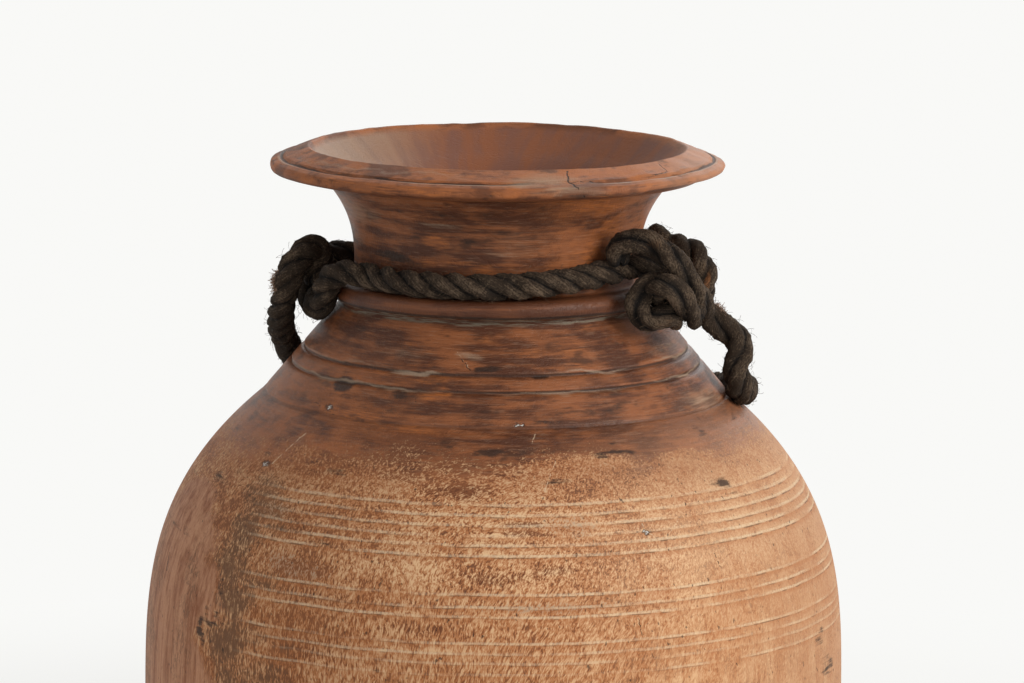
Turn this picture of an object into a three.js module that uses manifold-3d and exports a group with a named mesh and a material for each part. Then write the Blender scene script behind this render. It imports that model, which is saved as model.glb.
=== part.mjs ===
import * as THREE from 'three';
import Module from 'manifold-3d';
import { mergeVertices } from 'three/addons/utils/BufferGeometryUtils.js';

// A ghee pot turned from one log, with a rope collar round its neck and a rope
// handle knotted to the collar at both sides. Millimetres, +Z up, the pot stands
// on z = 0 and its turning axis is the Z axis. The front of the pot faces -Y.

// Turned body, outside
const footRadius = 92;
const footChamfer = 2.5;
const bellyRadius = 166.5;
const bellyHeight = 150;
const lowerFullness = 2.3;
const shoulderRadius = 111.8;
const shoulderRise = 150;
const upperFullness = 3.3;
const coneTopRadius = 73.4;
const coneRise = 45.6;

// Turned grooves on the shoulder
const grooveDepth = 1.3;
const grooveHalfWidth = 1.4;
const edgeGrooveDepth = 0.7;
const edgeGrooveBelow = 2.2;
const lowerGrooveBelow = 29;
const upperGrooveBelow = 22;

// Raised ring at the foot of the neck
const ringProud = 4.6;
const ringHeight = 9.8;
const ringRounding = 2.4;

// Neck and rim
const neckRadius = 67.6;
const neckWaistRise = 7;
const neckFlareRise = 40.5;
const flareRadius = 82;
const flareSharpness = 2.6;
const rimRadius = 108;
const rimUnderRise = 4.5;
const lipHeight = 6.4;
const lipRounding = 1.6;
const rimGrooveIn = 5.6;
const rimGrooveDepth = 0.9;
const mouthRadius = 90.4;
const rimFaceRise = 5.4;
const mouthEdge = 1.6;

// Hollow inside
const bellyWall = 13;
const floorThickness = 22;
const floorRadius = 62;
const neckWall = 10.4;
const coneWall = 9.5;

// Rope, all of one diameter
const ropeDiameter = 11.4;
const seatGap = 0.6;
const layGap = 0.5;
const faceGap = 0.3;
const pivotBall = 0.2;
const nominalCollarRadius = 73.9;

// Collar rope's runs along its circle, by angle from +X and height over the seat
const backArc = { from: 44, to: 138, rise: 0.2, climb: 0 };
const frontArc = { from: 216, to: 314, rise: 0.6, climb: 4 };
const arcStep = 15;

// How finely the curved forms are cut
const potSegments = 64;
const lowerBellySteps = 8;
const upperBellySteps = 11;
const neckSteps = 5;
const innerLowerSteps = 7;
const innerUpperSteps = 8;
const ropeSides = 8;
const collarSteps = 96;
const leftKnotSteps = 14;
const rightKnotSteps = 18;
const handleSteps = 52;
const outsideSpacing = 0.8;

const ropeRadius = ropeDiameter / 2;
const shoulderHeight = bellyHeight + shoulderRise;
const coneTopHeight = shoulderHeight + coneRise;
const ringRadius = coneTopRadius + ringProud;
const ringTopHeight = coneTopHeight + ringHeight;
const neckWaistHeight = ringTopHeight + neckWaistRise;
const flareHeight = neckWaistHeight + neckFlareRise;
const lipLowHeight = flareHeight + rimUnderRise;
const lipTopHeight = lipLowHeight + lipHeight;
const mouthHeight = lipTopHeight + rimFaceRise;
const seatHeight = ringTopHeight + seatGap + ropeRadius;
const collarRadius = neckRadius + seatGap + ropeRadius;
const layReach = ropeRadius + layGap;
const pivotReach = ropeRadius + pivotBall + faceGap;

const group = new THREE.Group();
group.name = 'ghee_pot';

const wood = new THREE.MeshStandardMaterial({ color: 0x8a4f30, roughness: 0.55, metalness: 0 });
const rope = new THREE.MeshStandardMaterial({ color: 0x2f2620, roughness: 0.9, metalness: 0 });

// Points of a curved run whose radius starts at one station and falls away to
// the other as a power of the share of the height travelled.
function powerRun(from, to, exponent, steps, skipFirst = true) {
  const points = [];
  for (let i = skipFirst ? 1 : 0; i <= steps; i += 1) {
    const share = i / steps;
    const radius = from.x + (to.x - from.x) * share ** exponent;
    points.push(new THREE.Vector2(radius, from.y + (to.y - from.y) * share));
  }
  return points;
}

// The same run walked from its far end back to its start.
function powerRunBack(from, to, exponent, steps) {
  return powerRun(from, to, exponent, steps, false).reverse().slice(1);
}

// Radius of the straight cone between shoulder and ring at a height.
function coneRadiusAt(height) {
  const share = (height - shoulderHeight) / coneRise;
  return shoulderRadius + (coneTopRadius - shoulderRadius) * share;
}

// Three points of a V groove cut into the cone.
function coneGroove(height, depth) {
  const low = height - grooveHalfWidth;
  const high = height + grooveHalfWidth;
  return [
    new THREE.Vector2(coneRadiusAt(low), low),
    new THREE.Vector2(coneRadiusAt(height) - depth, height),
    new THREE.Vector2(coneRadiusAt(high), high),
  ];
}

function outerProfile() {
  const belly = new THREE.Vector2(bellyRadius, bellyHeight);
  const foot = new THREE.Vector2(footRadius, footChamfer);
  const shoulder = new THREE.Vector2(shoulderRadius, shoulderHeight);
  const waist = new THREE.Vector2(neckRadius, neckWaistHeight);
  const flare = new THREE.Vector2(flareRadius, flareHeight);
  return [
    new THREE.Vector2(0, 0),
    new THREE.Vector2(footRadius - footChamfer, 0),
    foot,
    ...powerRunBack(belly, foot, lowerFullness, lowerBellySteps),
    ...powerRun(belly, shoulder, upperFullness, upperBellySteps),
    ...coneGroove(shoulderHeight + edgeGrooveBelow, edgeGrooveDepth),
    ...coneGroove(coneTopHeight - lowerGrooveBelow, grooveDepth),
    ...coneGroove(coneTopHeight - upperGrooveBelow, grooveDepth),
    new THREE.Vector2(coneTopRadius, coneTopHeight),
    new THREE.Vector2(ringRadius - ringRounding / 2, coneTopHeight + ringRounding / 2),
    new THREE.Vector2(ringRadius, coneTopHeight + ringHeight / 2),
    new THREE.Vector2(ringRadius - ringRounding / 2, ringTopHeight - ringRounding / 2),
    new THREE.Vector2(ringRadius - 2 * ringRounding, ringTopHeight),
    new THREE.Vector2(neckRadius, ringTopHeight),
    waist,
    ...powerRun(waist, flare, flareSharpness, neckSteps),
    new THREE.Vector2(rimRadius - lipRounding, lipLowHeight),
    new THREE.Vector2(rimRadius, lipLowHeight + lipHeight / 2),
    new THREE.Vector2(rimRadius - lipRounding, lipTopHeight - lipRounding / 2),
    ...rimFace(),
  ];
}

// Top of the rim: a turned groove near the lip, then a face that rises to the mouth.
function rimFace() {
  const grooveRadius = rimRadius - rimGrooveIn;
  const rise = (radius) => lipTopHeight + (rimFaceRise * (rimRadius - radius)) / (rimRadius - mouthRadius);
  const low = grooveRadius + grooveHalfWidth;
  const high = grooveRadius - grooveHalfWidth;
  return [
    new THREE.Vector2(low, rise(low)),
    new THREE.Vector2(grooveRadius, rise(grooveRadius) - rimGrooveDepth),
    new THREE.Vector2(high, rise(high)),
    new THREE.Vector2(mouthRadius, mouthHeight),
    new THREE.Vector2(mouthRadius - mouthEdge, mouthHeight - mouthEdge / 2),
  ];
}

// The hollow, from the mouth down to the floor, one wall inside the outer form.
function innerProfile() {
  const innerNeckRadius = neckRadius - neckWall;
  const innerFlare = new THREE.Vector2(flareRadius - neckWall, flareHeight);
  const innerWaist = new THREE.Vector2(innerNeckRadius, neckWaistHeight);
  const innerShoulder = new THREE.Vector2(shoulderRadius - coneWall, shoulderHeight - coneWall);
  const innerBelly = new THREE.Vector2(bellyRadius - bellyWall, bellyHeight);
  const floor = new THREE.Vector2(floorRadius, floorThickness);
  return [
    ...powerRunBack(innerWaist, innerFlare, flareSharpness, neckSteps - 1).slice(0, -1),
    innerWaist,
    new THREE.Vector2(innerNeckRadius, coneTopHeight - coneWall / 2),
    innerShoulder,
    ...powerRunBack(innerBelly, innerShoulder, upperFullness, innerUpperSteps),
    ...powerRun(innerBelly, floor, lowerFullness, innerLowerSteps),
    new THREE.Vector2(0, floorThickness),
  ];
}

function addMesh(name, geometry, material) {
  const mesh = new THREE.Mesh(geometry, material);
  mesh.name = name;
  group.add(mesh);
  return mesh;
}

function potBody() {
  const geometry = new THREE.LatheGeometry([...outerProfile(), ...innerProfile()], potSegments);
  geometry.rotateX(Math.PI / 2);
  return addMesh('pot_body', geometry, wood);
}

// The outside as closely spaced points, for laying rope against it.
function outsidePoints() {
  const profile = outerProfile();
  const points = [];
  for (let i = 1; i < profile.length; i += 1) {
    const steps = Math.ceil(profile[i].distanceTo(profile[i - 1]) / outsideSpacing);
    for (let j = 0; j < steps; j += 1) points.push(profile[i - 1].clone().lerp(profile[i], j / steps));
  }
  return points;
}

const outside = outsidePoints();

// Least distance from the axis at which the rope clears the outside, at a height.
function layRadius(height) {
  let least = 0;
  for (const point of outside) {
    const rise = Math.abs(point.y - height);
    if (rise < layReach) least = Math.max(least, point.x + Math.sqrt(layReach ** 2 - rise ** 2));
  }
  return least;
}

// A rope point moved straight out from the axis where the pot would be in its way.
function clearOfPot(point) {
  const stretch = Math.max(1, layRadius(point.z) / Math.hypot(point.x, point.y));
  return new THREE.Vector3(point.x * stretch, point.y * stretch, point.z);
}

// A rope point at a distance from the axis, by its angle from +X and its height over the seat.
function aroundAxis(radius, angle, up) {
  const turn = THREE.MathUtils.degToRad(angle);
  return new THREE.Vector3(radius * Math.cos(turn), radius * Math.sin(turn), seatHeight + up);
}

// A rope point given right, back and up from the seat, keeping its distance from the collar's circle.
function besideCollar([right, back, up]) {
  const shift = collarRadius / nominalCollarRadius;
  return new THREE.Vector3(right * shift, back * shift, seatHeight + up);
}

// A rope point that lies on the pot, by its angle and its height over the seat.
function onPot([angle, up]) {
  return aroundAxis(layRadius(seatHeight + up), angle, up);
}

// The rope's section, a regular polygon.
function ropeSection() {
  const shape = new THREE.Shape();
  for (let i = 0; i < ropeSides; i += 1) {
    const turn = (2 * Math.PI * i) / ropeSides;
    const corner = [ropeRadius * Math.cos(turn), ropeRadius * Math.sin(turn)];
    if (i === 0) shape.moveTo(...corner);
    else shape.lineTo(...corner);
  }
  shape.closePath();
  return shape;
}

function ropeAlong(points, steps) {
  const path = new THREE.CatmullRomCurve3(points, false, 'centripetal');
  return new THREE.ExtrudeGeometry(ropeSection(), { steps, extrudePath: path, bevelEnabled: false });
}

// Least gap between stretches of one rope that are not neighbours along it.
function leastSelfGap(points) {
  const path = new THREE.CatmullRomCurve3(points, false, 'centripetal');
  const length = path.getLength();
  const count = Math.ceil(length / 2);
  const samples = path.getSpacedPoints(count);
  const apart = Math.ceil((1.6 * Math.PI * ropeRadius) / (length / count));
  let least = Infinity;
  for (let i = 0; i < samples.length; i += 1) {
    for (let j = i + apart; j < samples.length; j += 1) {
      least = Math.min(least, samples[i].distanceTo(samples[j]) - ropeDiameter);
    }
  }
  return least;
}

// Collar rope: a hanging end at the right, round behind the neck, a sagging
// bight at the left, round the front, and an S turn under the right knot.
const collarRightEnd = [
  [95.9, 3, -15.9],
  [97.7, 2.5, -11],
  [97.9, 3, -5.3],
  [96.2, 4, 0.7],
  [92.7, 8, 5.4],
  [87.5, 13, 6.1],
  [81.9, 18, 7.2],
  [76.3, 23, 9.8],
  [69.8, 31, 6.2],
  [62.8, 41.5, 2.4],
];
const collarBight = [
  [-65.2, 39, -0.2],
  [-74.3, 31, -1.9],
  [-79.8, 22, -2.5],
  [-83.3, 14, -10.1],
  [-85.9, 8, -18.3],
  [-87.2, 2, -20.3],
  [-87, -4, -16.5],
  [-84.9, -9, -9.5],
  [-81.5, -15, -3.4],
  [-75.1, -24, 1.1],
  [-66.8, -35.4, 0.9],
];
const collarTurn = [
  [59.4, -46, 5.8],
  [67, -41, 7],
  [74, -37, 8.4],
  [80.2, -34.3, 8.4],
  [85, -36, 6.2],
  [86.6, -39, 2.4],
  [84.4, -42, -1.2],
  [79.1, -45, -2.8],
  [72.9, -51, -2],
  [68, -56, -4.6],
  [66, -57.6, -9.5],
  [67.9, -58, -14.4],
  [72.6, -57.8, -17],
  [77.9, -56.2, -16],
  [81.8, -52, -15.4],
  [85.2, -46, -18.4],
];

// Points along the collar's circle, climbing towards the arc's end.
function collarArc(arc) {
  const count = Math.ceil((arc.to - arc.from) / arcStep);
  const points = [];
  for (let i = 0; i <= count; i += 1) {
    const share = i / count;
    points.push(aroundAxis(collarRadius, arc.from + (arc.to - arc.from) * share, arc.rise + arc.climb * share ** 3));
  }
  return points;
}

function collarRoute() {
  return [
    ...collarRightEnd.map(besideCollar).map(clearOfPot),
    ...collarArc(backArc),
    ...collarBight.map(besideCollar).map(clearOfPot),
    ...collarArc(frontArc),
    ...collarTurn.map(besideCollar).map(clearOfPot),
  ];
}

// The handle swings about the line through these two points.
const leftPivot = [-100.5, -10, -15.3];
const rightPivot = [96.7, -26, -18.2];

// Left knot: from the pivot up the outside, over the collar and down inside it.
const leftKnotRoute = [
  [-98.9, -13.5, -8.6],
  [-96.8, -13, -1.3],
  [-92.9, -10, 4.5],
  [-87.8, -5.5, 7.7],
  [-82.5, -0.5, 7.1],
  [-77.8, 3, 3.6],
  [-75.4, 4, -1],
  [-75.4, 4, -5.8],
];

// Right knot: from the pivot up over the collar's turn, tucked in above the collar.
const rightKnotRoute = [
  [95.6, -38, -12.8],
  [93.4, -48.5, -6.6],
  [89.4, -54.5, 0.8],
  [85.2, -56.5, 7.2],
  [80.6, -56.5, 12.5],
  [75.9, -55.5, 16.6],
  [69.3, -55, 19.5],
  [62.4, -54, 19.3],
  [57.3, -52, 17],
];

// Handle: down from the left pivot, round the back of the shoulder, then up and over to the right pivot.
const handleLeftLeg = [
  [-101.9, -4, -22.4],
  [-102.5, 6, -29.8],
  [-101.7, 18, -37.4],
  [-100.1, 32, -44],
  [-98.2, 46, -50.1],
];
const handleBackRun = [
  [145, -58],
  [133, -65],
  [120, -72.8],
  [105, -78.7],
  [90, -81.3],
  [75, -78.7],
  [60, -74.5],
  [48, -71],
  [38, -69],
  [29, -67],
  [20, -63.5],
  [11, -60.5],
];
const handleRightLeg = [
  [118.3, 6, -58.8],
  [117.6, -4, -58.6],
  [116.2, -13, -56.8],
  [114.2, -19, -51.8],
  [113.6, -20.6, -45.2],
  [115, -18.8, -38.4],
  [113.2, -17.2, -31],
  [109.4, -18, -27.4],
  [103.8, -21, -23.6],
];

function handleRoute() {
  return [
    besideCollar(leftPivot),
    ...handleLeftLeg.map(besideCollar).map(clearOfPot),
    ...handleBackRun.map(onPot),
    ...handleRightLeg.map(besideCollar).map(clearOfPot),
    besideCollar(rightPivot),
  ];
}

// A knot's points, starting just clear of the handle's ball at the pivot.
function knotPoints(pivot, route) {
  const centre = besideCollar(pivot);
  const rest = route.map(besideCollar);
  const face = rest[0].clone().sub(centre).setLength(pivotReach).add(centre);
  return [face, ...rest];
}

const wasm = await Module();
wasm.setup();

function toSolid(geometry) {
  const bare = geometry.clone();
  bare.deleteAttribute('normal');
  bare.deleteAttribute('uv');
  const merged = mergeVertices(bare, 1e-4);
  const vertProperties = new Float32Array(merged.attributes.position.array);
  const triVerts = new Uint32Array(merged.index.array);
  return new wasm.Manifold(new wasm.Mesh({ numProp: 3, vertProperties, triVerts }));
}

function toGeometry(solid) {
  const mesh = solid.getMesh();
  const geometry = new THREE.BufferGeometry();
  geometry.setAttribute('position', new THREE.BufferAttribute(mesh.vertProperties, 3));
  geometry.setIndex(new THREE.BufferAttribute(mesh.triVerts, 1));
  geometry.computeVertexNormals();
  return geometry;
}

function pivotEnd(pivot) {
  const ball = new THREE.SphereGeometry(ropeRadius + pivotBall, 12, 8);
  const centre = besideCollar(pivot);
  ball.translate(centre.x, centre.y, centre.z);
  return toSolid(ball);
}

function ropeHandle() {
  const run = toSolid(ropeAlong(handleRoute(), handleSteps));
  const solid = run.add(pivotEnd(leftPivot)).add(pivotEnd(rightPivot));
  return addMesh('rope_handle', toGeometry(solid), rope);
}

function neckRope() {
  const points = collarRoute();
  console.log('neck_rope least gap to itself', leastSelfGap(points).toFixed(2), 'mm');
  return addMesh('neck_rope', ropeAlong(points, collarSteps), rope);
}

function knot(name, pivot, route, steps) {
  const points = knotPoints(pivot, route);
  console.log(name, 'least gap to itself', leastSelfGap(points).toFixed(2), 'mm');
  return addMesh(name, ropeAlong(points, steps), rope);
}

potBody();
neckRope();
knot('left_knot', leftPivot, leftKnotRoute, leftKnotSteps);
knot('right_knot', rightPivot, rightKnotRoute, rightKnotSteps);
ropeHandle();

export default group;
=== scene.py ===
import bisect
import math
import random
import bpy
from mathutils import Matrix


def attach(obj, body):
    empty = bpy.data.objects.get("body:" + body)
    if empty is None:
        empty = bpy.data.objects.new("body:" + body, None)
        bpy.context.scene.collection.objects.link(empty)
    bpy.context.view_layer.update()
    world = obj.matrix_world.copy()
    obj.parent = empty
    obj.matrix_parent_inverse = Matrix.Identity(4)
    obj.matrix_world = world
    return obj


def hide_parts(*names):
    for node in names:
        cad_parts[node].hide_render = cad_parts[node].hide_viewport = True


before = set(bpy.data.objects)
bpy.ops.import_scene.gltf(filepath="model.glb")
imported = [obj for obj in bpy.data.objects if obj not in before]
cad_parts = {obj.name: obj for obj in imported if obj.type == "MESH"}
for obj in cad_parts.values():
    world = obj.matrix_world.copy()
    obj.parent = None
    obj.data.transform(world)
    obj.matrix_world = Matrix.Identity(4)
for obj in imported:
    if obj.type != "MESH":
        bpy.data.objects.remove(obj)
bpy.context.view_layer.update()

from types import SimpleNamespace
import bpy
from mathutils import Matrix, Vector, noise


photoCamera = {
    "lens": 210.94,          # millimetres
    "sensor": 36,            # millimetres
    "aim": (0.0075, 0, 0.325),
    "distance": 2.85,        # metres
    "elevation": 9.05,       # degrees above the horizon
    "roll": 0.52,            # the pot leans a little to the right in the picture
}


def setCamera(values):
    tilt = math.radians(values["elevation"])
    roll = math.radians(values["roll"])
    ahead = Vector((0, math.cos(tilt), -math.sin(tilt)))
    right = Vector((1, 0, 0))
    up = right.cross(ahead)
    rolledRight = right * math.cos(roll) + up * math.sin(roll)
    rolledUp = up * math.cos(roll) - right * math.sin(roll)
    data = bpy.data.cameras.new("photoCamera")
    data.lens = values["lens"]
    data.sensor_width = values["sensor"]
    data.clip_start = 0.05
    camera = bpy.data.objects.new("photoCamera", data)
    turn = Matrix((rolledRight, rolledUp, -ahead)).transposed().to_4x4()
    camera.matrix_world = Matrix.Translation(Vector(values["aim"]) - ahead * values["distance"]) @ turn
    bpy.context.collection.objects.link(camera)
    bpy.context.scene.camera = camera


setCamera(photoCamera)
print("camera set")


# node helpers, for geometry and for shaders alike
class Wire:
    # one output socket; arithmetic on it adds Math nodes
    def __init__(self, desk, socket):
        self.desk = desk
        self.socket = socket

    def maths(self, operation, *others):
        return self.desk.maths(operation, self, *others)

    def __add__(self, other):
        return self.maths("ADD", other)

    def __radd__(self, other):
        return self.desk.maths("ADD", other, self)

    def __sub__(self, other):
        return self.maths("SUBTRACT", other)

    def __rsub__(self, other):
        return self.desk.maths("SUBTRACT", other, self)

    def __mul__(self, other):
        return self.maths("MULTIPLY", other)

    def __rmul__(self, other):
        return self.desk.maths("MULTIPLY", other, self)

    def __truediv__(self, other):
        return self.maths("DIVIDE", other)


class NodeDesk:
    # adds nodes to one tree and joins them up
    def __init__(self, tree):
        self.tree = tree
        self.count = 0

    def add(self, kind, settings=None, sockets=None, out=0):
        node = self.tree.nodes.new(kind)
        node.location = (180 * (self.count % 14), -220 * (self.count // 14))
        self.count += 1
        for name, value in (settings or {}).items():
            setattr(node, name, value)
        for key, value in (sockets or {}).items():
            self.join(value, node.inputs[key])
        return node if out is None else Wire(self, node.outputs[out])

    def join(self, value, socket):
        if isinstance(value, Wire):
            self.tree.links.new(value.socket, socket)
        else:
            socket.default_value = value

    def maths(self, operation, *values):
        return self.add("ShaderNodeMath", {"operation": operation}, dict(enumerate(values)))

    def vector(self, operation, *values, out=0):
        return self.add("ShaderNodeVectorMath", {"operation": operation}, dict(enumerate(values)), out)

    def scaled(self, vector, amount):
        return self.add("ShaderNodeVectorMath", {"operation": "SCALE"}, {0: vector, 3: amount})

    def joined(self, x, y, z):
        return self.add("ShaderNodeCombineXYZ", None, {0: x, 1: y, 2: z})

    def split(self, vector):
        node = self.add("ShaderNodeSeparateXYZ", None, {0: vector}, out=None)
        return [Wire(self, socket) for socket in node.outputs]

    def step(self, value, low, high, bottom=0.0, top=1.0):
        # a smooth step from bottom at low to top at high
        return self.add("ShaderNodeMapRange", {"interpolation_type": "SMOOTHSTEP"},
                        {0: value, 1: low, 2: high, 3: bottom, 4: top})

    def stroke(self, offset, solid, faded, strength=1.0):
        # full strength while the offset is small, nothing once it has passed faded
        return self.step(offset.maths("ABSOLUTE"), solid, faded, strength, 0.0)

    def noise(self, place, scale, detail=3.0, roughness=0.5, out=0):
        return self.add("ShaderNodeTexNoise", {"noise_dimensions": "3D"},
                        {"Vector": place, "Scale": scale, "Detail": detail, "Roughness": roughness}, out)

    def mixed(self, amount, first, second):
        return self.add("ShaderNodeMix", {"data_type": "RGBA", "blend_type": "MIX"},
                        {0: amount, 6: first, 7: second}, out=2)

    def named(self, name, kind="FLOAT"):
        # an attribute of the points, in a geometry tree
        return self.add("GeometryNodeInputNamedAttribute", {"data_type": kind}, {"Name": name})

    def stored(self, shape, name, value, kind="FLOAT"):
        return self.add("GeometryNodeStoreNamedAttribute", {"data_type": kind, "domain": "POINT"},
                        {"Geometry": shape, "Name": name, "Value": value})

    def painted(self, name, out="Fac"):
        # an attribute of the points, in a shader
        return self.add("ShaderNodeAttribute", {"attribute_name": name}, out=out)

    def bump(self, height, strength, distance):
        return self.add("ShaderNodeBump", None,
                        {"Strength": strength, "Distance": distance, "Height": height}, out="Normal")


def colour(r, g, b):
    return (r, g, b, 1.0)


def segmentGap(desk, place, start, end):
    # how far a place is from a straight line between two points
    start, end = Vector(start), Vector(end)
    line = end - start
    from_ = desk.vector("SUBTRACT", place, tuple(start))
    share = desk.vector("DOT_PRODUCT", from_, tuple(line / line.length_squared), out="Value")
    share = share.maths("MAXIMUM", 0.0).maths("MINIMUM", 1.0)
    return desk.vector("LENGTH", desk.vector("SUBTRACT", from_, desk.scaled(tuple(line), share)), out="Value")


def newFinish(name):
    finish = bpy.data.materials.new(name)
    finish.use_nodes = True
    finish.node_tree.nodes.clear()
    return finish, NodeDesk(finish.node_tree)


def endFinish(desk, shader, kind="ShaderNodeOutputMaterial"):
    end = desk.tree.nodes.new(kind)
    desk.join(shader, end.inputs["Surface"])


def newTree(name, sockets):
    # a geometry tree with named inputs for what a user would change
    tree = bpy.data.node_groups.new(name, "GeometryNodeTree")
    tree.interface.new_socket("Geometry", in_out="INPUT", socket_type="NodeSocketGeometry")
    for label, kind in sockets:
        tree.interface.new_socket(label, in_out="INPUT", socket_type="NodeSocket" + kind)
    tree.interface.new_socket("Geometry", in_out="OUTPUT", socket_type="NodeSocketGeometry")
    desk = NodeDesk(tree)
    start = tree.nodes.new("NodeGroupInput")
    given = {socket.name: Wire(desk, socket) for socket in start.outputs if socket.name}
    return desk, given


def endTree(desk, shape, finish):
    whole = desk.add("GeometryNodeRealizeInstances", None, {0: shape})
    coated = desk.add("GeometryNodeSetMaterial", None, {"Geometry": whole, "Material": finish})
    end = desk.tree.nodes.new("NodeGroupOutput")
    desk.join(coated, end.inputs[0])


def bake(name, source, desk, values):
    # runs the tree on the source mesh and keeps the result as one plain mesh
    helper = bpy.data.objects.new(name + "Source", source)
    bpy.context.collection.objects.link(helper)
    modifier = helper.modifiers.new(name, "NODES")
    modifier.node_group = desk.tree
    for item in desk.tree.interface.items_tree:
        if item.in_out == "INPUT" and item.name in values:
            modifier[item.identifier] = values[item.name]
    graph = bpy.context.evaluated_depsgraph_get()
    mesh = bpy.data.meshes.new_from_object(helper.evaluated_get(graph), depsgraph=graph)
    mesh.name = name
    helper.modifiers.clear()
    bpy.data.objects.remove(helper)
    piece = bpy.data.objects.new(name, mesh)
    bpy.context.collection.objects.link(piece)
    return piece


def thickened(desk, curve, thickness, sides):
    # a round body along a curve, with closed ends
    ring = desk.add("GeometryNodeCurvePrimitiveCircle", None, {"Resolution": sides, "Radius": 1.0})
    return desk.add("GeometryNodeCurveToMesh", None, {
        "Curve": curve, "Profile Curve": ring, "Scale": thickness * 0.5, "Fill Caps": True})


def rideAs(piece, body, slot):
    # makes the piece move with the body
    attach(piece, body)
    return piece


def inMetres(points):
    return [tuple(value / 10000 for value in point) for point in points]


# where the ropes' middle lines run, in tenths of a millimetre
collarPoints = inMetres([
    (959, 30, 3458), (977, 25, 3507), (979, 30, 3564), (962, 40, 3624), (927, 80, 3671), (875, 130, 3678),
    (819, 180, 3689), (763, 230, 3715), (698, 310, 3679), (628, 415, 3641), (532, 513, 3619),
    (398, 623, 3619), (242, 698, 3619), (74, 735, 3619), (-99, 732, 3619), (-267, 689, 3619),
    (-419, 609, 3619), (-549, 494, 3619), (-652, 390, 3615), (-750, 335, 3618), (-840, 265, 3610),
    (-890, 168, 3560), (-897, 80, 3482), (-872, 0, 3432), (-848, -90, 3420), (-818, -180, 3452),
    (-806, -250, 3518), (-785, -300, 3582), (-735, -350, 3620), (-670, -395, 3628), (-598, -434, 3623),
    (-475, -566, 3619), (-324, -664, 3617), (-154, -723, 3618), (26, -739, 3622), (204, -710, 3631),
    (370, -640, 3644), (513, -532, 3663), (594, -460, 3675), (670, -410, 3687), (740, -370, 3701),
    (802, -343, 3701), (850, -360, 3679), (866, -395, 3648), (842, -430, 3624), (788, -470, 3614),
    (728, -520, 3612), (680, -562, 3583), (658, -580, 3528), (679, -580, 3473), (726, -578, 3447),
    (779, -562, 3457), (818, -520, 3463), (852, -460, 3433),
])
leftKnotPoints = inMetres([
    (-989, -135, 3531), (-968, -130, 3604), (-929, -100, 3662), (-886, -60, 3694), (-852, -30, 3686),
    (-836, -20, 3646), (-846, -30, 3598), (-858, -42, 3524),
])
rightKnotPoints = inMetres([
    (956, -380, 3489), (934, -485, 3551), (894, -545, 3625), (852, -565, 3689), (806, -565, 3742),
    (759, -555, 3783), (693, -550, 3812), (624, -540, 3807), (578, -530, 3784), (558, -532, 3744),
    (566, -545, 3700),
])
# the tied turn's free end, out of the hook under the right knot and down beside the handle
tiedEndPoints = inMetres([
    (862, -385, 3502), (812, -430, 3510), (766, -485, 3540), (740, -555, 3586), (768, -612, 3612),
    (810, -635, 3609), (852, -620, 3574), (882, -580, 3526), (908, -510, 3473), (930, -450, 3436),
])
handlePoints = inMetres([
    (-1005, -100, 3464), (-1019, -40, 3393), (-1025, 60, 3319), (-1017, 180, 3243), (-1001, 320, 3177),
    (-997, 467, 3116), (-958, 671, 3037), (-849, 911, 2967), (-663, 1148, 2889), (-356, 1329, 2830),
    (0, 1399, 2804), (356, 1329, 2830), (670, 1161, 2872), (877, 973, 2907), (1015, 793, 2927),
    (1108, 614, 2947), (1155, 420, 2982), (1174, 228, 3012), (1183, 60, 3029), (1176, -40, 3031),
    (1162, -130, 3049), (1142, -190, 3099), (1136, -206, 3165), (1150, -188, 3233), (1132, -172, 3307),
    (1094, -180, 3343), (1038, -210, 3381), (967, -260, 3435),
])


def smoothStep(value, low, high):
    share = min(1.0, max(0.0, (value - low) / (high - low)))
    return share * share * (3 - 2 * share)


def between(value, rise, fall):
    # 1 between the rise and the fall, with soft edges
    return smoothStep(value, *rise) * (1 - smoothStep(value, *fall))


def smoothRoute(points, spacing=0.001):
    # a centripetal curve through the points; returns samples and the length at each given point
    given = [Vector(p) for p in points]
    ends = [given[0] * 2 - given[1]] + given + [given[-1] * 2 - given[-2]]
    samples, marks, length = [given[0].copy()], [0.0], 0.0
    for a, b, c, d in zip(ends, ends[1:], ends[2:], ends[3:]):
        before, here, after = [(q - p).length ** 0.5 for p, q in ((a, b), (b, c), (c, d))]
        leave = ((b - a) / before - (c - a) / (before + here) + (c - b) / here) * here
        arrive = ((c - b) / here - (d - b) / (here + after) + (d - c) / after) * here
        steps = max(2, math.ceil((c - b).length / spacing))
        for index in range(1, steps + 1):
            t = index / steps
            place = (b + leave * t + (3 * (c - b) - 2 * leave - arrive) * t * t
                     + (2 * (b - c) + leave + arrive) * t ** 3)
            length += (place - samples[-1]).length
            samples.append(place)
        marks.append(length)
    return samples, marks


def routeLength(points):
    return sum((q - p).length for p, q in zip(points, points[1:]))


ropeLook = {
    "diameter": 0.0114,
    "spread": 1.10,          # how far the strands' crowns stand past the rope's mean thickness
    "collarLay": 0.037,      # length of one full turn of a strand
    "handleLay": 0.029,
    "knotLay": 0.080,        # the right knot has pulled the lay open
    "slackEase": 0.05,       # the lay opens over this length
    "swellEase": 0.02,       # and the rope thickens over this one
    "strands": 3,
    "strandShare": 0.555,    # strand thickness beside the rope's
    "unevenness": 0.26,
    "lumps": 0.00085,        # height of the matted lumps on a strand
    "sides": 14,
    "endRounding": 0.0040,   # the strands close up over this length at a cut end
    "endShare": 0.45,        # thickness left at the very end
    "overlap": 0.0016,       # a knot and the handle meet in one another by this much
}


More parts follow.
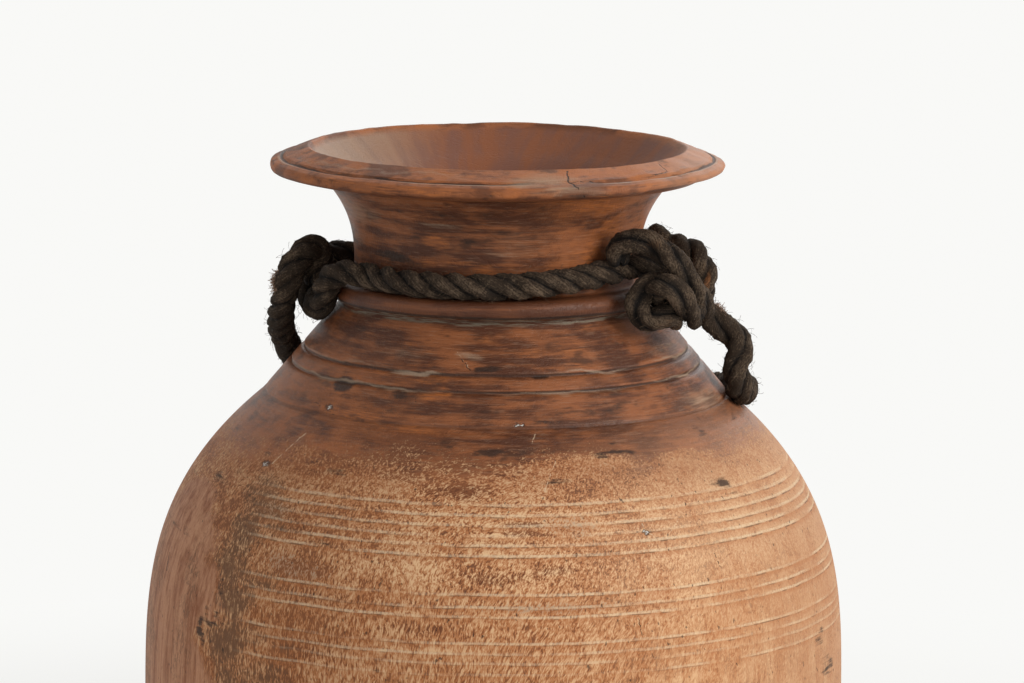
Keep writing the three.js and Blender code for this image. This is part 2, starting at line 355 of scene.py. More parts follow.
def ropeLine(name, samples, start, end, lay, swells=(), slack=(), values=ropeLook):
    # a line of points with its own side direction and length, cut out of a longer rope
    side = Vector((0.3, 0.2, 1.0))
    along, turns = 0.0, 0.0
    ease = values["slackEase"]
    rows = []
    for index, place in enumerate(samples):
        ahead = (samples[min(index + 1, len(samples) - 1)] - samples[max(index - 1, 0)]).normalized()
        side = (side - ahead * side.dot(ahead)).normalized()
        if index:
            part = (place - samples[index - 1]).length
            along += part
            open_ = max([between(along, (a, a + ease), (b - ease, b)) for a, b in slack] or [0])
            turns += part / (lay + (values["knotLay"] - lay) * open_)
        if start <= along <= end:
            rows.append((place.copy(), side.copy(), along, turns))
    first, last = rows[0][2], rows[-1][2]
    mesh = bpy.data.meshes.new(name)
    mesh.from_pydata([row[0] for row in rows], [(i, i + 1) for i in range(len(rows) - 1)], [])
    reach, ease, least = values["endRounding"], values["swellEase"], values["endShare"]
    fullness = []
    for place, across, at, turned in rows:
        room = min(1.0, (at - first) / reach, (last - at) / reach)
        full = least + (1 - least) * math.sqrt(max(0.0, 1 - (1 - room) ** 2))
        for begin, finish, factor in swells:
            full *= 1 + (factor - 1) * between(at, (begin, begin + ease), (finish - ease, finish))
        fullness.append(full)
    mesh.attributes.new("side", "FLOAT_VECTOR", "POINT")
    mesh.attributes["side"].data.foreach_set("vector", [c for row in rows for c in row[1]])
    for label, numbers in (("along", [row[2] for row in rows]), ("turns", [row[3] for row in rows]),
                           ("fullness", fullness)):
        mesh.attributes.new(label, "FLOAT", "POINT")
        mesh.attributes[label].data.foreach_set("value", numbers)
    return mesh


def laidRopeTree(strandCount):
    desk, given = newTree("laidRope", [
        ("Rope Diameter", "Float"), ("Strand Share", "Float"), ("Unevenness", "Float"),
        ("Lump Height", "Float"), ("Sides", "Int"), ("Seed", "Float"), ("Finish", "Material")])
    line = desk.add("GeometryNodeMeshToCurve", None, {0: given["Geometry"]})
    side = desk.named("side", "FLOAT_VECTOR")
    along, turns, fullness = [desk.named(name) for name in ("along", "turns", "fullness")]
    across = desk.vector("CROSS_PRODUCT", desk.add("GeometryNodeInputTangent"), side)
    radius = given["Rope Diameter"] * 0.5
    strandRadius = radius * given["Strand Share"]
    ring = desk.add("GeometryNodeCurvePrimitiveCircle", None, {"Resolution": given["Sides"], "Radius": 1.0})
    ring = desk.stored(ring, "around", desk.add("GeometryNodeInputPosition"), "FLOAT_VECTOR")

    # each strand winds round the line, pushed off its course and swollen a little by slow noise
    strands = []
    for number in range(strandCount):
        spot = desk.joined(along * 90.0, given["Seed"] + 7.3 * number, number * 3.1)
        loose = desk.noise(spot, 1.0, 1.0) - 0.5
        swell = desk.noise(desk.vector("ADD", spot, (0.0, 41.0, 0.0)), 1.7, 1.0) - 0.5
        turned = turns * (2 * math.pi) + number * 2 * math.pi / strandCount
        phase = turned + loose * given["Unevenness"] * 3.0
        reach = (radius - strandRadius) * fullness * (1.0 + loose * given["Unevenness"] * 0.8)
        push = desk.vector("ADD", desk.scaled(side, phase.maths("COSINE") * reach),
                           desk.scaled(across, phase.maths("SINE") * reach))
        strand = desk.add("GeometryNodeSetPosition", None, {"Geometry": line, "Offset": push})
        thickness = strandRadius * fullness * (1.0 + swell * given["Unevenness"] * 1.2)
        strand = desk.add("GeometryNodeCurveToMesh", None,
                          {"Curve": strand, "Profile Curve": ring, "Scale": thickness, "Fill Caps": True})
        strands.append(desk.stored(strand, "strand", float(number)))
    rope = desk.add("GeometryNodeJoinGeometry", out=None)
    for strand in strands:
        desk.tree.links.new(strand.socket, rope.inputs[0])
    rope = Wire(desk, rope.outputs[0])

    # how far each point stands from the rope's middle, then the matted lumps
    middle = desk.add("GeometryNodeCurveToMesh", None, {"Curve": line})
    away = desk.add("GeometryNodeProximity", {"target_element": "EDGES"}, {0: middle}, out="Distance")
    rope = desk.stored(rope, "crown", away / radius)
    spot = desk.add("GeometryNodeInputPosition")
    lump = desk.noise(spot, 620.0, 3.0, 0.65) * 1.2 + desk.noise(spot, 210.0, 1.0, 0.5) * 0.9 - 1.05
    push = desk.scaled(desk.add("GeometryNodeInputNormal"), lump * given["Lump Height"] * 2.0)
    rope = desk.add("GeometryNodeSetPosition", None, {"Geometry": rope, "Offset": push})
    rope = desk.add("GeometryNodeSetShadeSmooth", None, {"Geometry": rope, "Shade Smooth": True})
    endTree(desk, rope, given["Finish"])
    return desk


ropeTints = {
    # linear colours of the dark rope; hollow is a painted shade for the hollows between the strands, and worn
    # is partly wear, partly painted highlight
    "hollow": (0.006, 0.004, 0.003), "raised": (0.032, 0.020, 0.012), "worn": (0.155, 0.105, 0.067),
    "rusty": (0.160, 0.075, 0.030), "orange": (0.30, 0.115, 0.040),
    "yarnTurn": 0.045,       # length of one turn of the yarns in a strand
    "orangeFrom": (0.1005, -0.0035, 0.3600), "orangeTo": (0.0985, -0.0040, 0.3480),
}


def darkRopeFinish(values):
    finish, desk = newFinish("darkRope")
    tint = {name: colour(*value) for name, value in values.items() if isinstance(value, tuple)}
    around = desk.painted("around", "Vector")
    along, strand, crown = [desk.painted(name) for name in ("along", "strand", "crown")]
    place = desk.add("ShaderNodeTexCoord", out="Object")
    x, y, z = desk.split(around)
    turn = desk.maths("ARCTAN2", y, x) - along * (2 * math.pi / values["yarnTurn"])
    threads = desk.joined(turn.maths("COSINE"), turn.maths("SINE"), along * 26.0 + strand * 9.7)
    fibre = desk.noise(threads, 7.5, 4.0, 0.68)
    coarse = desk.noise(threads, 1.6, 2.0, 0.5)
    mat = desk.noise(place, 1100.0, 3.0, 0.65)
    yarns = (turn * 5.0 + coarse * 3.5).maths("SINE") * 0.5 + 0.5
    patch = desk.noise(place, 95.0, 3.0, 0.6)
    raised = desk.step(crown, 0.66, 1.02)
    x, y, z = desk.split(place)
    # painted highlight: the run in front gets a little more of the light worn colour
    litFrontRun = desk.step(y, -0.030, -0.060)
    worn = desk.step(fibre * 0.7 + mat * 0.6 + patch * 0.6 + litFrontRun * 0.05, 0.94, 1.16)
    # painted shade: the hollows between the strands are darker than the crowns
    base = desk.mixed(raised, tint["hollow"], tint["raised"])
    # lighter crowns: partly real wear, partly painted highlights on the fibres
    base = desk.mixed(worn * raised * 0.80, base, tint["worn"])
    rusty = desk.step(desk.noise(place, 48.0, 2.0), 0.62, 0.74) * desk.step(fibre, 0.45, 0.62)
    base = desk.mixed(rusty * 0.5, base, tint["rusty"])
    streak = segmentGap(desk, place, values["orangeFrom"], values["orangeTo"])
    streak = desk.stroke(streak, 0.0008, 0.0019) * desk.step(fibre, 0.35, 0.55) * 0.8
    base = desk.mixed(streak, base, tint["orange"])
    height = yarns * 0.30 + fibre * 1.0 + coarse * 0.4 + mat * 1.3
    endFinish(desk, desk.add("ShaderNodeBsdfPrincipled", None, {
        "Base Color": base, "Roughness": 0.86 - worn * 0.14,
        "Normal": desk.bump(height, 1.0, 0.0011), "Specular IOR Level": 0.2}))
    return finish


ropeTree = laidRopeTree(ropeLook["strands"])
ropeFinish = darkRopeFinish(ropeTints)


def makeRope(name, line, seed, body, slot):
    return rideAs(bake(name, line, ropeTree, {
        "Rope Diameter": ropeLook["diameter"] * ropeLook["spread"],
        "Strand Share": ropeLook["strandShare"], "Unevenness": ropeLook["unevenness"],
        "Lump Height": ropeLook["lumps"], "Sides": ropeLook["sides"], "Seed": seed,
        "Finish": ropeFinish}), body, slot)


# the collar swells at its hanging end, and its lay is pulled open under the right knot
collarSamples, collarMarks = smoothRoute(collarPoints)
collarLine = ropeLine("neckLine", collarSamples, 0, collarMarks[-1], ropeLook["collarLay"],
                      [(-0.03, 0.075, 1.14)], [(collarMarks[-1] - 0.09, 1.0)])
neckRope = makeRope("neckRope", collarLine, 2.0, "collar", "neck_rope")
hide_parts("neck_rope")
tiedSamples, tiedMarks = smoothRoute(tiedEndPoints)
tiedLine = ropeLine("tiedLine", tiedSamples, 0, tiedMarks[-1], ropeLook["knotLay"])
tiedEnd = makeRope("tiedEnd", tiedLine, 8.0, "collar", "neck_rope")

# the handle and both knots are one rope, cut where it bends at the knots
wholePoints = leftKnotPoints[::-1] + handlePoints + rightKnotPoints
wholeSamples, wholeMarks = smoothRoute(wholePoints)
leftCut = wholeMarks[len(leftKnotPoints)]
rightCut = wholeMarks[len(leftKnotPoints) + len(handlePoints) - 1]
lap = ropeLook["overlap"]
swells = [
    # from, to, how many times as thick
    (-0.03, leftCut + 0.01, 1.10), (leftCut, leftCut + 0.05, 1.04), (rightCut - 0.11, rightCut + 0.03, 1.10),
]
slack = [(rightCut - 0.06, wholeMarks[-1] + 0.06)]


def cutRope(name, start, end, body, slot):
    line = ropeLine(name + "Line", wholeSamples, start, end, ropeLook["handleLay"], swells, slack)
    return makeRope(name, line, 5.0, body, slot)


leftKnot = cutRope("leftKnot", 0, leftCut + lap, "collar", "left_knot")
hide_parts("left_knot")
rightKnot = cutRope("rightKnot", rightCut - lap, wholeMarks[-1], "collar", "right_knot")
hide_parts("right_knot")
handleRope = cutRope("handleRope", leftCut - lap, rightCut + lap, "handle", "rope_handle")
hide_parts("rope_handle")
handleSamples, handleMarks = smoothRoute(handlePoints, 0.002)
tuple(handlePoints[0])
round(routeLength(handleSamples), 4)
[tuple(p) for p in handleSamples]
print("ropes laid")


fuzzLook = {
    "density": 60000.0,      # fibres to a square metre of strand
    "length": 0.0030, "thickness": 0.00011, "seed": 11,
    "sizes": (0.45, 1.5),    # shortest and longest fibre, as shares of the length
    "dark": (0.030, 0.020, 0.013), "light": (0.130, 0.088, 0.056),
}
tuftLook = {
    "fibres": 240, "length": 0.0060, "thickness": 0.00022, "joints": 4, "seed": 20,
    "spray": 0.45, "bend": 0.5,
    "dark": (0.200, 0.120, 0.080), "light": (0.480, 0.330, 0.240),
}
tuftSpots = [
    # place, way it stands out, spread along the rope, body, slot
    ((-0.1035, -0.0150, 0.3553), (-0.85, -0.35, -0.4), (0.0, 0.0, 0.0050), "collar", "left_knot"),
    ((0.1038, -0.0230, 0.3442), (0.35, -0.2, 0.9), (0.0034, 0.0, -0.0022), "handle", "rope_handle"),
]


def fibreFinish(name, look):
    finish, desk = newFinish(name)
    place = desk.add("ShaderNodeTexCoord", out="Object")
    patches = desk.step(desk.noise(place, 700.0, 2.0), 0.35, 0.65)
    tone = desk.mixed(patches, colour(*look["dark"]), colour(*look["light"]))
    endFinish(desk, desk.add("ShaderNodeBsdfPrincipled", None, {
        "Base Color": tone, "Roughness": 0.8, "Specular IOR Level": 0.2}))
    return finish


def fuzzTree(sizes):
    # short bent fibres stand on the strands, each turned and sized by chance
    desk, given = newTree("ropeFuzz", [
        ("Density", "Float"), ("Fibre Length", "Float"), ("Fibre Thickness", "Float"),
        ("Seed", "Int"), ("Finish", "Material")])

    def chance(low, high, seed):
        return desk.add("FunctionNodeRandomValue", {"data_type": "FLOAT"},
                        {2: low, 3: high, "Seed": seed}, out=1)

    points = desk.add("GeometryNodeDistributePointsOnFaces", {"distribute_method": "RANDOM"}, {
        "Mesh": given["Geometry"], "Density": given["Density"], "Seed": given["Seed"]}, out=None)
    size = given["Fibre Length"]
    middle = desk.joined(size * 0.55, 0.0, size * 0.42)
    tip = desk.joined(size, size * 0.15, size * 0.38)
    hair = desk.add("GeometryNodeCurveQuadraticBezier", None, {
        "Resolution": 4, "Start": (0.0, 0.0, 0.0), "Middle": middle, "End": tip})
    hair = thickened(desk, hair, given["Fibre Thickness"], 3)
    spin = chance(0.0, 2 * math.pi, 3)
    turn = desk.add("FunctionNodeRotateRotation", {"rotation_space": "LOCAL"}, {
        0: Wire(desk, points.outputs["Rotation"]),
        1: desk.add("FunctionNodeEulerToRotation", None, {0: desk.joined(0.0, 0.0, spin)})})
    grow = chance(*sizes, 4)
    hairs = desk.add("GeometryNodeInstanceOnPoints", None, {
        "Points": Wire(desk, points.outputs["Points"]), "Instance": hair, "Rotation": turn,
        "Scale": desk.joined(grow, grow, grow)})
    endTree(desk, hairs, given["Finish"])
    return desk


def tuftTree():
    # gives thickness to fibres drawn as lines
    desk, given = newTree("frayedTuft", [("Fibre Thickness", "Float"), ("Finish", "Material")])
    line = desk.add("GeometryNodeMeshToCurve", None, {0: given["Geometry"]})
    endTree(desk, thickened(desk, line, given["Fibre Thickness"], 3), given["Finish"])
    return desk


def tuftLines(middle, outward, along, seed, look):
    # bent lines that start along a short stretch of rope and spray outward
    chance = random.Random(seed)
    places, edges = [], []
    for fibre in range(look["fibres"]):
        share = chance.uniform(-1, 1)
        root = Vector(middle) + Vector(along) * share
        aim = (Vector(outward) + Vector([chance.gauss(0, look["spray"]) for axis in range(3)])).normalized()
        bend = Vector([chance.gauss(0, look["bend"]) for axis in range(3)])
        size = look["length"] * chance.uniform(0.35, 1.0) * (1 - 0.4 * share * share)
        for step in range(look["joints"] + 1):
            part = step / look["joints"]
            if step:
                edges.append((len(places) - 1, len(places)))
            places.append(root + aim * size * (part - 0.3) + bend * size * 0.35 * part * part)
    lines = bpy.data.meshes.new("tuftLines")
    lines.from_pydata(places, edges, [])
    return lines


darkFibre = fibreFinish("darkFibre", fuzzLook)
paleFibre = fibreFinish("paleFibre", tuftLook)
fuzz = fuzzTree(fuzzLook["sizes"])
for number, (rope, body, slot) in enumerate([
        (neckRope, "collar", "neck_rope"), (tiedEnd, "collar", "neck_rope"),
        (leftKnot, "collar", "left_knot"), (rightKnot, "collar", "right_knot"),
        (handleRope, "handle", "rope_handle")]):
    rideAs(bake(rope.name + "Fuzz", rope.data.copy(), fuzz, {
        "Density": fuzzLook["density"], "Fibre Length": fuzzLook["length"],
        "Fibre Thickness": fuzzLook["thickness"], "Seed": fuzzLook["seed"] + number,
        "Finish": darkFibre}), body, slot)

tufts = tuftTree()
for number, (middle, outward, along, body, slot) in enumerate(tuftSpots):
    lines = tuftLines(middle, outward, along, tuftLook["seed"] + number, tuftLook)
    rideAs(bake(f"frayedTuft{number + 1}", lines, tufts, {
        "Fibre Thickness": tuftLook["thickness"], "Finish": paleFibre}), body, slot)
print("fibres set")


potShape = {
    # radii and heights, from the middle of the foot
    "footRadius": 0.092, "footChamfer": 0.0025,
    "bellyRadius": 0.1665, "bellyHeight": 0.150, "lowerFullness": 2.3, "upperFullness": 3.3,
    "shoulderRadius": 0.1118, "shoulderHeight": 0.300,
    "coneTopRadius": 0.0734, "coneTopHeight": 0.3456,
    "grooveHeights": (0.3022, 0.3166, 0.3236), "grooveDepths": (0.0007, 0.0013, 0.0013),
    "grooveHalfWidth": 0.0014,
    "neckRadius": 0.0676, "neckWaist": 0.3624,
    "flareRadius": 0.082, "flareHeight": 0.4029, "flareSharpness": 2.6,
    "rimRadius": 0.108, "lipLow": 0.4074,
    "faceRadius": 0.1064, "faceHeight": 0.4130,    # where the rim's upper face begins
    "mouthRadius": 0.0904, "mouthHeight": 0.4192,
    "rimGroove": 0.1024, "rimGrooveDepth": 0.0009, "rimGrooveHalfWidth": 0.0014,
    "throatRadius": 0.0716, "neckWall": 0.0104,
    "hollowRadius": 0.1535, "hollowTopRadius": 0.1023, "hollowTop": 0.2905,
    "floorRadius": 0.062, "floorHeight": 0.022,
    "around": 252,           # columns round the pot
}
ringRows = [
    # the raised ring, and the corner where the neck leaves it
    (0.0737, 0.3457), (0.0752, 0.3459), (0.0765, 0.3466), (0.0773, 0.3477), (0.0778, 0.3490),
    (0.0780, 0.3505), (0.0778, 0.3520), (0.0772, 0.3534), (0.0762, 0.3545), (0.0748, 0.3552),
    (0.0732, 0.3554), (0.0700, 0.3555), (0.0684, 0.3558), (0.0677, 0.3566),
]
lipRows = [
    (0.1064, 0.4074), (0.1071, 0.4079), (0.1076, 0.4087), (0.1079, 0.4097), (0.1080, 0.4107),
    (0.1078, 0.4116), (0.1074, 0.4123), (0.1069, 0.4128), (0.1064, 0.4130),
]
mouthRows = [(0.0904, 0.4192), (0.0898, 0.4191), (0.0892, 0.4188), (0.0888, 0.4184)]
collarWallRows = [
    # inside, from the neck down into the shoulder
    (0.0572, 0.3624), (0.0572, 0.352), (0.0574, 0.3418), (0.0590, 0.3388), (0.080, 0.3150), (0.1010, 0.2920),
]
floorRows = [(0.062, 0.0225), (0.060, 0.022), (0.03, 0.022), (0.0, 0.022)]


def bellyAt(height, values=potShape):
    middle, widest = values["bellyHeight"], values["bellyRadius"]
    if height < middle:
        share = (middle - height) / (middle - values["footChamfer"])
        return widest + (values["footRadius"] - widest) * share ** values["lowerFullness"]
    share = (height - middle) / (values["shoulderHeight"] - middle)
    return widest + (values["shoulderRadius"] - widest) * share ** values["upperFullness"]


def hollowAt(height, values=potShape):
    middle, widest = values["bellyHeight"], values["hollowRadius"]
    if height > middle:
        share = (height - middle) / (values["hollowTop"] - middle)
        return widest + (values["hollowTopRadius"] - widest) * share ** values["upperFullness"]
    share = (middle - height) / (middle - values["floorHeight"])
    return widest + (values["floorRadius"] - widest) * share ** values["lowerFullness"]


def neckAt(height, values=potShape):
    share = max(0.0, (height - values["neckWaist"]) / (values["flareHeight"] - values["neckWaist"]))
    flare = values["flareRadius"] - values["neckRadius"]
    return values["neckRadius"] + flare * share ** values["flareSharpness"]


def shoulderRows(values):
    # the straight shoulder, with closer rows in its turned grooves
    v = values
    rows = []
    slope = (v["coneTopRadius"] - v["shoulderRadius"]) / (v["coneTopHeight"] - v["shoulderHeight"])
    unit = math.hypot(1, slope)
    height = v["shoulderHeight"]
    while height < v["coneTopHeight"] - 0.0007:
        close = min(abs(height - centre) for centre in v["grooveHeights"])
        height += 0.00030 if close < 0.0016 else 0.0011
        radius = v["shoulderRadius"] + slope * (height - v["shoulderHeight"])
        sink = 0.0
        for centre, depth in zip(v["grooveHeights"], v["grooveDepths"]):
            off = abs(height - centre) * unit / v["grooveHalfWidth"]
            if off < 1:
                sink = depth * (1 - off ** 1.4)
        rows.append((radius - sink / unit, height + sink * slope / unit))
    return rows


def rimRows(values):
    # the flare's underside out to the lip, then the face with its groove back to the mouth
    v = values
    rows = []
    for index in range(1, 9):
        share = index / 9
        radius = v["flareRadius"] + (v["rimRadius"] - 0.0016 - v["flareRadius"]) * share
        height = v["flareHeight"] + (v["lipLow"] - v["flareHeight"]) * share
        rows.append((radius, height - 0.0006 * math.sin(math.pi * share)))
    rows += lipRows
    radius = v["faceRadius"]
    while radius > v["mouthRadius"] + 0.0009:
        radius -= 0.00028 if abs(radius - v["rimGroove"]) < 0.0018 else 0.0009
        share = (v["faceRadius"] - radius) / (v["faceRadius"] - v["mouthRadius"])
        height = v["faceHeight"] + (v["mouthHeight"] - v["faceHeight"]) * share
        off = abs(radius - v["rimGroove"]) / v["rimGrooveHalfWidth"]
        rows.append((radius, height - (v["rimGrooveDepth"] * (1 - off ** 1.5) if off < 1 else 0)))
    return rows + mouthRows


def potOutline(values=potShape):
    # radius and height from the middle of the foot, up the outside and down the inside
    v = values
    rows = [(0.0, 0.0), (0.03, 0.0), (0.06, 0.0), (0.080, 0.0), (v["footRadius"] - v["footChamfer"], 0.0)]
    rows += [(v["footRadius"] - 0.0008, 0.0009), (v["footRadius"], v["footChamfer"])]
    height = v["footChamfer"]
    while height < v["shoulderHeight"] - 0.002:
        height += 0.0016 if height > 0.19 else 0.0026
        rows.append((bellyAt(height), height))
    rows.append((v["shoulderRadius"] + 0.0002, v["shoulderHeight"] - 0.0004))
    rows += shoulderRows(v) + ringRows
    height = 0.3575
    while height < v["flareHeight"]:
        rows.append((neckAt(height), height))
        height += 0.0013
    rows.append((v["flareRadius"], v["flareHeight"]))
    rows += rimRows(v)
    inner = len(rows)
    (startRadius, startHeight), height = mouthRows[-1], v["flareHeight"]
    for index in range(1, 6):
        share = index / 6
        rows.append((startRadius + (v["throatRadius"] - startRadius) * share,
                     startHeight + (v["flareHeight"] - startHeight) * share))
    while height > v["neckWaist"]:
        rows.append((neckAt(height) - v["neckWall"], height))
        height -= 0.003
    rows += collarWallRows
    height = 0.2890
    while height > v["floorHeight"] + 0.002:
        rows.append((hollowAt(height), height))
        height -= 0.008
    return rows + floorRows, inner


def turnedPotTree():
    # turns the outline round the axis: a grid takes its rows from the outline's points
    desk, given = newTree("turnedPot", [
        ("Columns", "Int"), ("Rows", "Int"), ("Inner Row", "Int"), ("Finish", "Material")])
    grid = desk.add("GeometryNodeMeshGrid", None, {
        "Size X": 1.0, "Size Y": 1.0, "Vertices X": given["Columns"], "Vertices Y": given["Rows"]})
    place = desk.add("GeometryNodeInputPosition")
    across, up, unused = desk.split(place)
    turn = (across + 0.5) * (2 * math.pi)
    row = ((up + 0.5) * (given["Rows"] - 1.0)).maths("ROUND")
    point = desk.add("GeometryNodeSampleIndex", {"data_type": "FLOAT_VECTOR", "domain": "POINT"}, {
        "Geometry": given["Geometry"], "Value": place, "Index": row})
    radius, unused, height = desk.split(point)
    pot = desk.stored(grid, "inner", row.maths("GREATER_THAN", given["Inner Row"] - 1.0))
    spot = desk.joined(radius * turn.maths("SINE"), radius * turn.maths("COSINE"), height)
    pot = desk.add("GeometryNodeSetPosition", None, {"Geometry": pot, "Position": spot})
    pot = desk.add("GeometryNodeMergeByDistance", None, {"Geometry": pot, "Distance": 0.00001})
    pot = desk.add("GeometryNodeSetShadeSmooth", None, {"Geometry": pot, "Shade Smooth": True})
    endTree(desk, pot, given["Finish"])
    return desk


woodLook = {
    # finishes of the pot, as linear colours
    "paleTan": (0.590, 0.375, 0.205),
    "tan": (0.400, 0.180, 0.076),
    "orangeTan": (0.310, 0.104, 0.031),
    "fleck": (0.105, 0.031, 0.011),
    "calmGrey": (0.430, 0.300, 0.215),       # a greyer tone, high at the right
    "farRightDarker": (0.330, 0.170, 0.090),
    "bandBrown": (0.110, 0.056, 0.028),
    "smoothSideAndLitBrown": (0.400, 0.195, 0.108),    # the smooth left side; also painted light on the right of the rim and of the lower shoulder
    "smoothRed": (0.200, 0.070, 0.031),
    "darkRed": (0.066, 0.021, 0.009),        # shoulder, ring and neck
    "warmRed": (0.215, 0.072, 0.026),
    "hair": (0.260, 0.150, 0.095),           # light turning marks in the dark wood
    "glow": (0.350, 0.110, 0.028),           # where the dark oil has rubbed off
    "blackOil": (0.018, 0.009, 0.006),
    "rimBrown": (0.270, 0.092, 0.034),
    "insideBrown": (0.160, 0.066, 0.042),
    # dust, and the colour of painted light: the reflection on the neck's left, the lit inner wall at the left
    # and the highlight beside the rim's groove
    "dust": (0.300, 0.215, 0.150),
    "greyDust": (0.165, 0.135, 0.098),       # the worn strip under the ring
    "scratch": (0.560, 0.420, 0.275),
    # near black: cracks and pores, and painted shadow round the chips and in the ring's crevice
    "crackAndShadow": (0.018, 0.010, 0.007),
    "chip": (0.50, 0.47, 0.43),
    "darkFrom": 0.2800, "darkTo": 0.2910,    # height at which the belly turns dark
    "grooveLines": (0.30, 0.85, 0.80),       # how dark the turned grooves are, from the lowest up
    "ringLow": 0.3480, "ringHigh": 0.3563, "ringEdge": 0.0008,   # the raised ring is darker
    # heights of the ring's painted sheen and painted crevice shade line, and of the grey strip's lower edge
    "ringSheen": 0.3515, "ringCreviceShade": 0.3478, "stripLow": 0.3432,
    "rimFrom": 0.4035, "rimTo": 0.4075,      # height at which the neck's wood turns into the rim's
    "lipUnder": 0.4092,                      # below this the lip is dark
    "rimLine": 0.1022, "rimGrooveHighlight": 0.1036,    # radii of the groove's dark line and of the painted highlight beside it
    "fleckWidth": 0.00058, "fleckHeight": 0.0030, "fleckSlant": 0.42,
    "scratchGroups": [
        # height, strength
        (0.2719, 0.8), (0.2676, 0.8), (0.2634, 0.9), (0.2591, 0.8), (0.2551, 1.0), (0.2507, 1.0),
        (0.2341, 1.0), (0.2286, 0.9), (0.2244, 0.9),
        (0.2127, 0.8), (0.2080, 0.7), (0.2037, 0.5), (0.1986, 0.6),
        (0.1420, 0.6), (0.1375, 0.7), (0.1330, 0.6), (0.0800, 0.5), (0.0755, 0.5),
    ],
}

# marks on the wood: angle round the pot in degrees (0 in front, + to the right), height in mm,
# half width in degrees, half height in mm, strength
# black stains; the thin upright marks at -53.5 and -53 degrees are a painted shadow line along the edge of
# the smooth left side
blackMarks = [
    (-47, 315, 5, 3.6, 1.0), (-26, 313, 4.5, 3.6, 0.8), (-27, 307.5, 5, 2.2, 0.6), (-2, 326.6, 5, 1.7, 1.0),
    (13.5, 322, 4, 1.2, 0.9), (32, 307.5, 6, 3.2, 0.55), (16, 304, 7, 1.5, 0.5), (60, 310, 6, 3.2, 0.4),
    (-1, 292.5, 5, 2.2, 0.9), (29, 295, 5, 1.2, 0.9), (28, 291.5, 7, 1.3, 1.0), (55, 294, 6, 2, 0.5),
    (63, 294, 4, 1.5, 0.4), (50, 274.5, 3, 2.8, 0.8), (51, 269.5, 4, 1.3, 0.7), (11, 281, 4.5, 2.6, 0.6),
    (-34, 281, 4.5, 1.8, 0.5), (-30, 252, 1.1, 1.2, 0.9), (67, 197, 3.4, 8, 0.5), (71, 180, 4, 9, 0.45),
    (-19, 202, 1.3, 3.2, 0.55), (-53.5, 205, 0.9, 10, 0.9), (-53, 226, 0.8, 7, 0.7),
    (-75, 243, 11, 3.2, 0.5), (-66, 269, 9, 2.2, 0.5), (-79, 265, 7, 2.2, 0.4), (-60, 273, 5, 2.5, 0.4),
    (-46, 372.5, 12, 3.2, 0.9), (-33, 371, 8, 2.2, 0.6), (-14, 382, 9, 3.2, 0.5), (-10, 396, 18, 4, 0.5),
    (20, 399, 15, 3, 0.5), (18, 390, 8, 3, 0.5), (62, 385, 12, 5, 0.4), (-38, 398, 12, 6, 0.4),
    (2, 388, 9, 3, 0.45), (-30, 389, 9, 3, 0.35), (40, 384, 7, 2.5, 0.45), (-1, 408.6, 6, 1.0, 0.5),
    (-44, 410, 6, 1.6, 0.5), (30, 408.4, 8, 0.9, 0.4), (110, 262, 9, 5, 0.6), (128, 240, 5, 9, 0.5),
    (150, 278, 14, 3, 0.6), (168, 215, 6, 6, 0.5), (-118, 272, 12, 4, 0.6), (-140, 236, 5, 10, 0.5),
    (-160, 258, 8, 3, 0.6), (-172, 190, 4, 12, 0.45), (100, 318, 7, 3, 0.7), (140, 310, 9, 3, 0.6),
    (-105, 308, 9, 3, 0.7), (-150, 320, 6, 2, 0.7), (95, 140, 5, 12, 0.4), (-20, 120, 6, 8, 0.35),
    (30, 90, 8, 7, 0.35), (-95, 110, 6, 9, 0.4), (175, 120, 8, 8, 0.4),
]
shadeMarks = [
    # brown bands and clouds, softer and lighter than the black stains
    (-49, 268, 6, 11, 0.8), (-50, 251, 5, 12, 0.9), (-49.5, 236, 5.5, 11, 0.9), (-49, 220, 5.5, 12, 0.85),
    (-48.5, 202, 5.5, 14, 0.8), (-47.5, 180, 6, 18, 0.7), (-43, 262, 9, 7, 0.6), (-40, 255, 9, 4, 0.5),
    (-44, 232, 8, 5, 0.6), (-44, 205, 5, 9, 0.5), (-40, 190, 8, 8, 0.5), (-6, 286, 15, 4.2, 0.7),
    (-26, 288.5, 15, 3.6, 0.65), (-19, 283, 9, 4, 0.6), (-7, 277.5, 10, 5, 0.75), (-38, 279, 5, 2.2, 0.5),
    (5.5, 264.3, 5, 1.7, 1.0), (5, 260.6, 6, 1.5, 0.9), (1, 256.5, 10, 1.3, 0.5), (2, 241, 13, 4.5, 0.55),
    (9, 244, 5, 4.5, 0.6), (-30, 228, 12, 4, 0.4), (-12, 218, 10, 4, 0.35), (26, 226, 9, 4, 0.3),
    (-12, 267, 4, 2.6, 0.4), (34, 232, 7, 5, 0.35), (-28, 205, 9, 7, 0.4), (-80, 200, 7, 60, 0.35),
    (-62, 200, 4, 60, 0.35), (100, 230, 10, 14, 0.6), (142, 200, 12, 10, 0.5), (-128, 180, 8, 30, 0.6),
    (-165, 235, 12, 8, 0.5), (60, 130, 12, 9, 0.4), (-10, 150, 12, 8, 0.3), (20, 170, 14, 6, 0.3),
    (170, 275, 14, 6, 0.6), (-100, 140, 8, 20, 0.5), (85, 90, 12, 10, 0.4),
]
liftMarks = [
    # places where light wood reaches up into the dark shoulder
    (19, 287, 14, 6, 1.0), (44, 286, 10, 4, 0.6), (-44, 286, 6, 4, 0.5), (120, 287, 14, 5, 0.8),
    (-140, 286, 16, 5, 0.8),
]
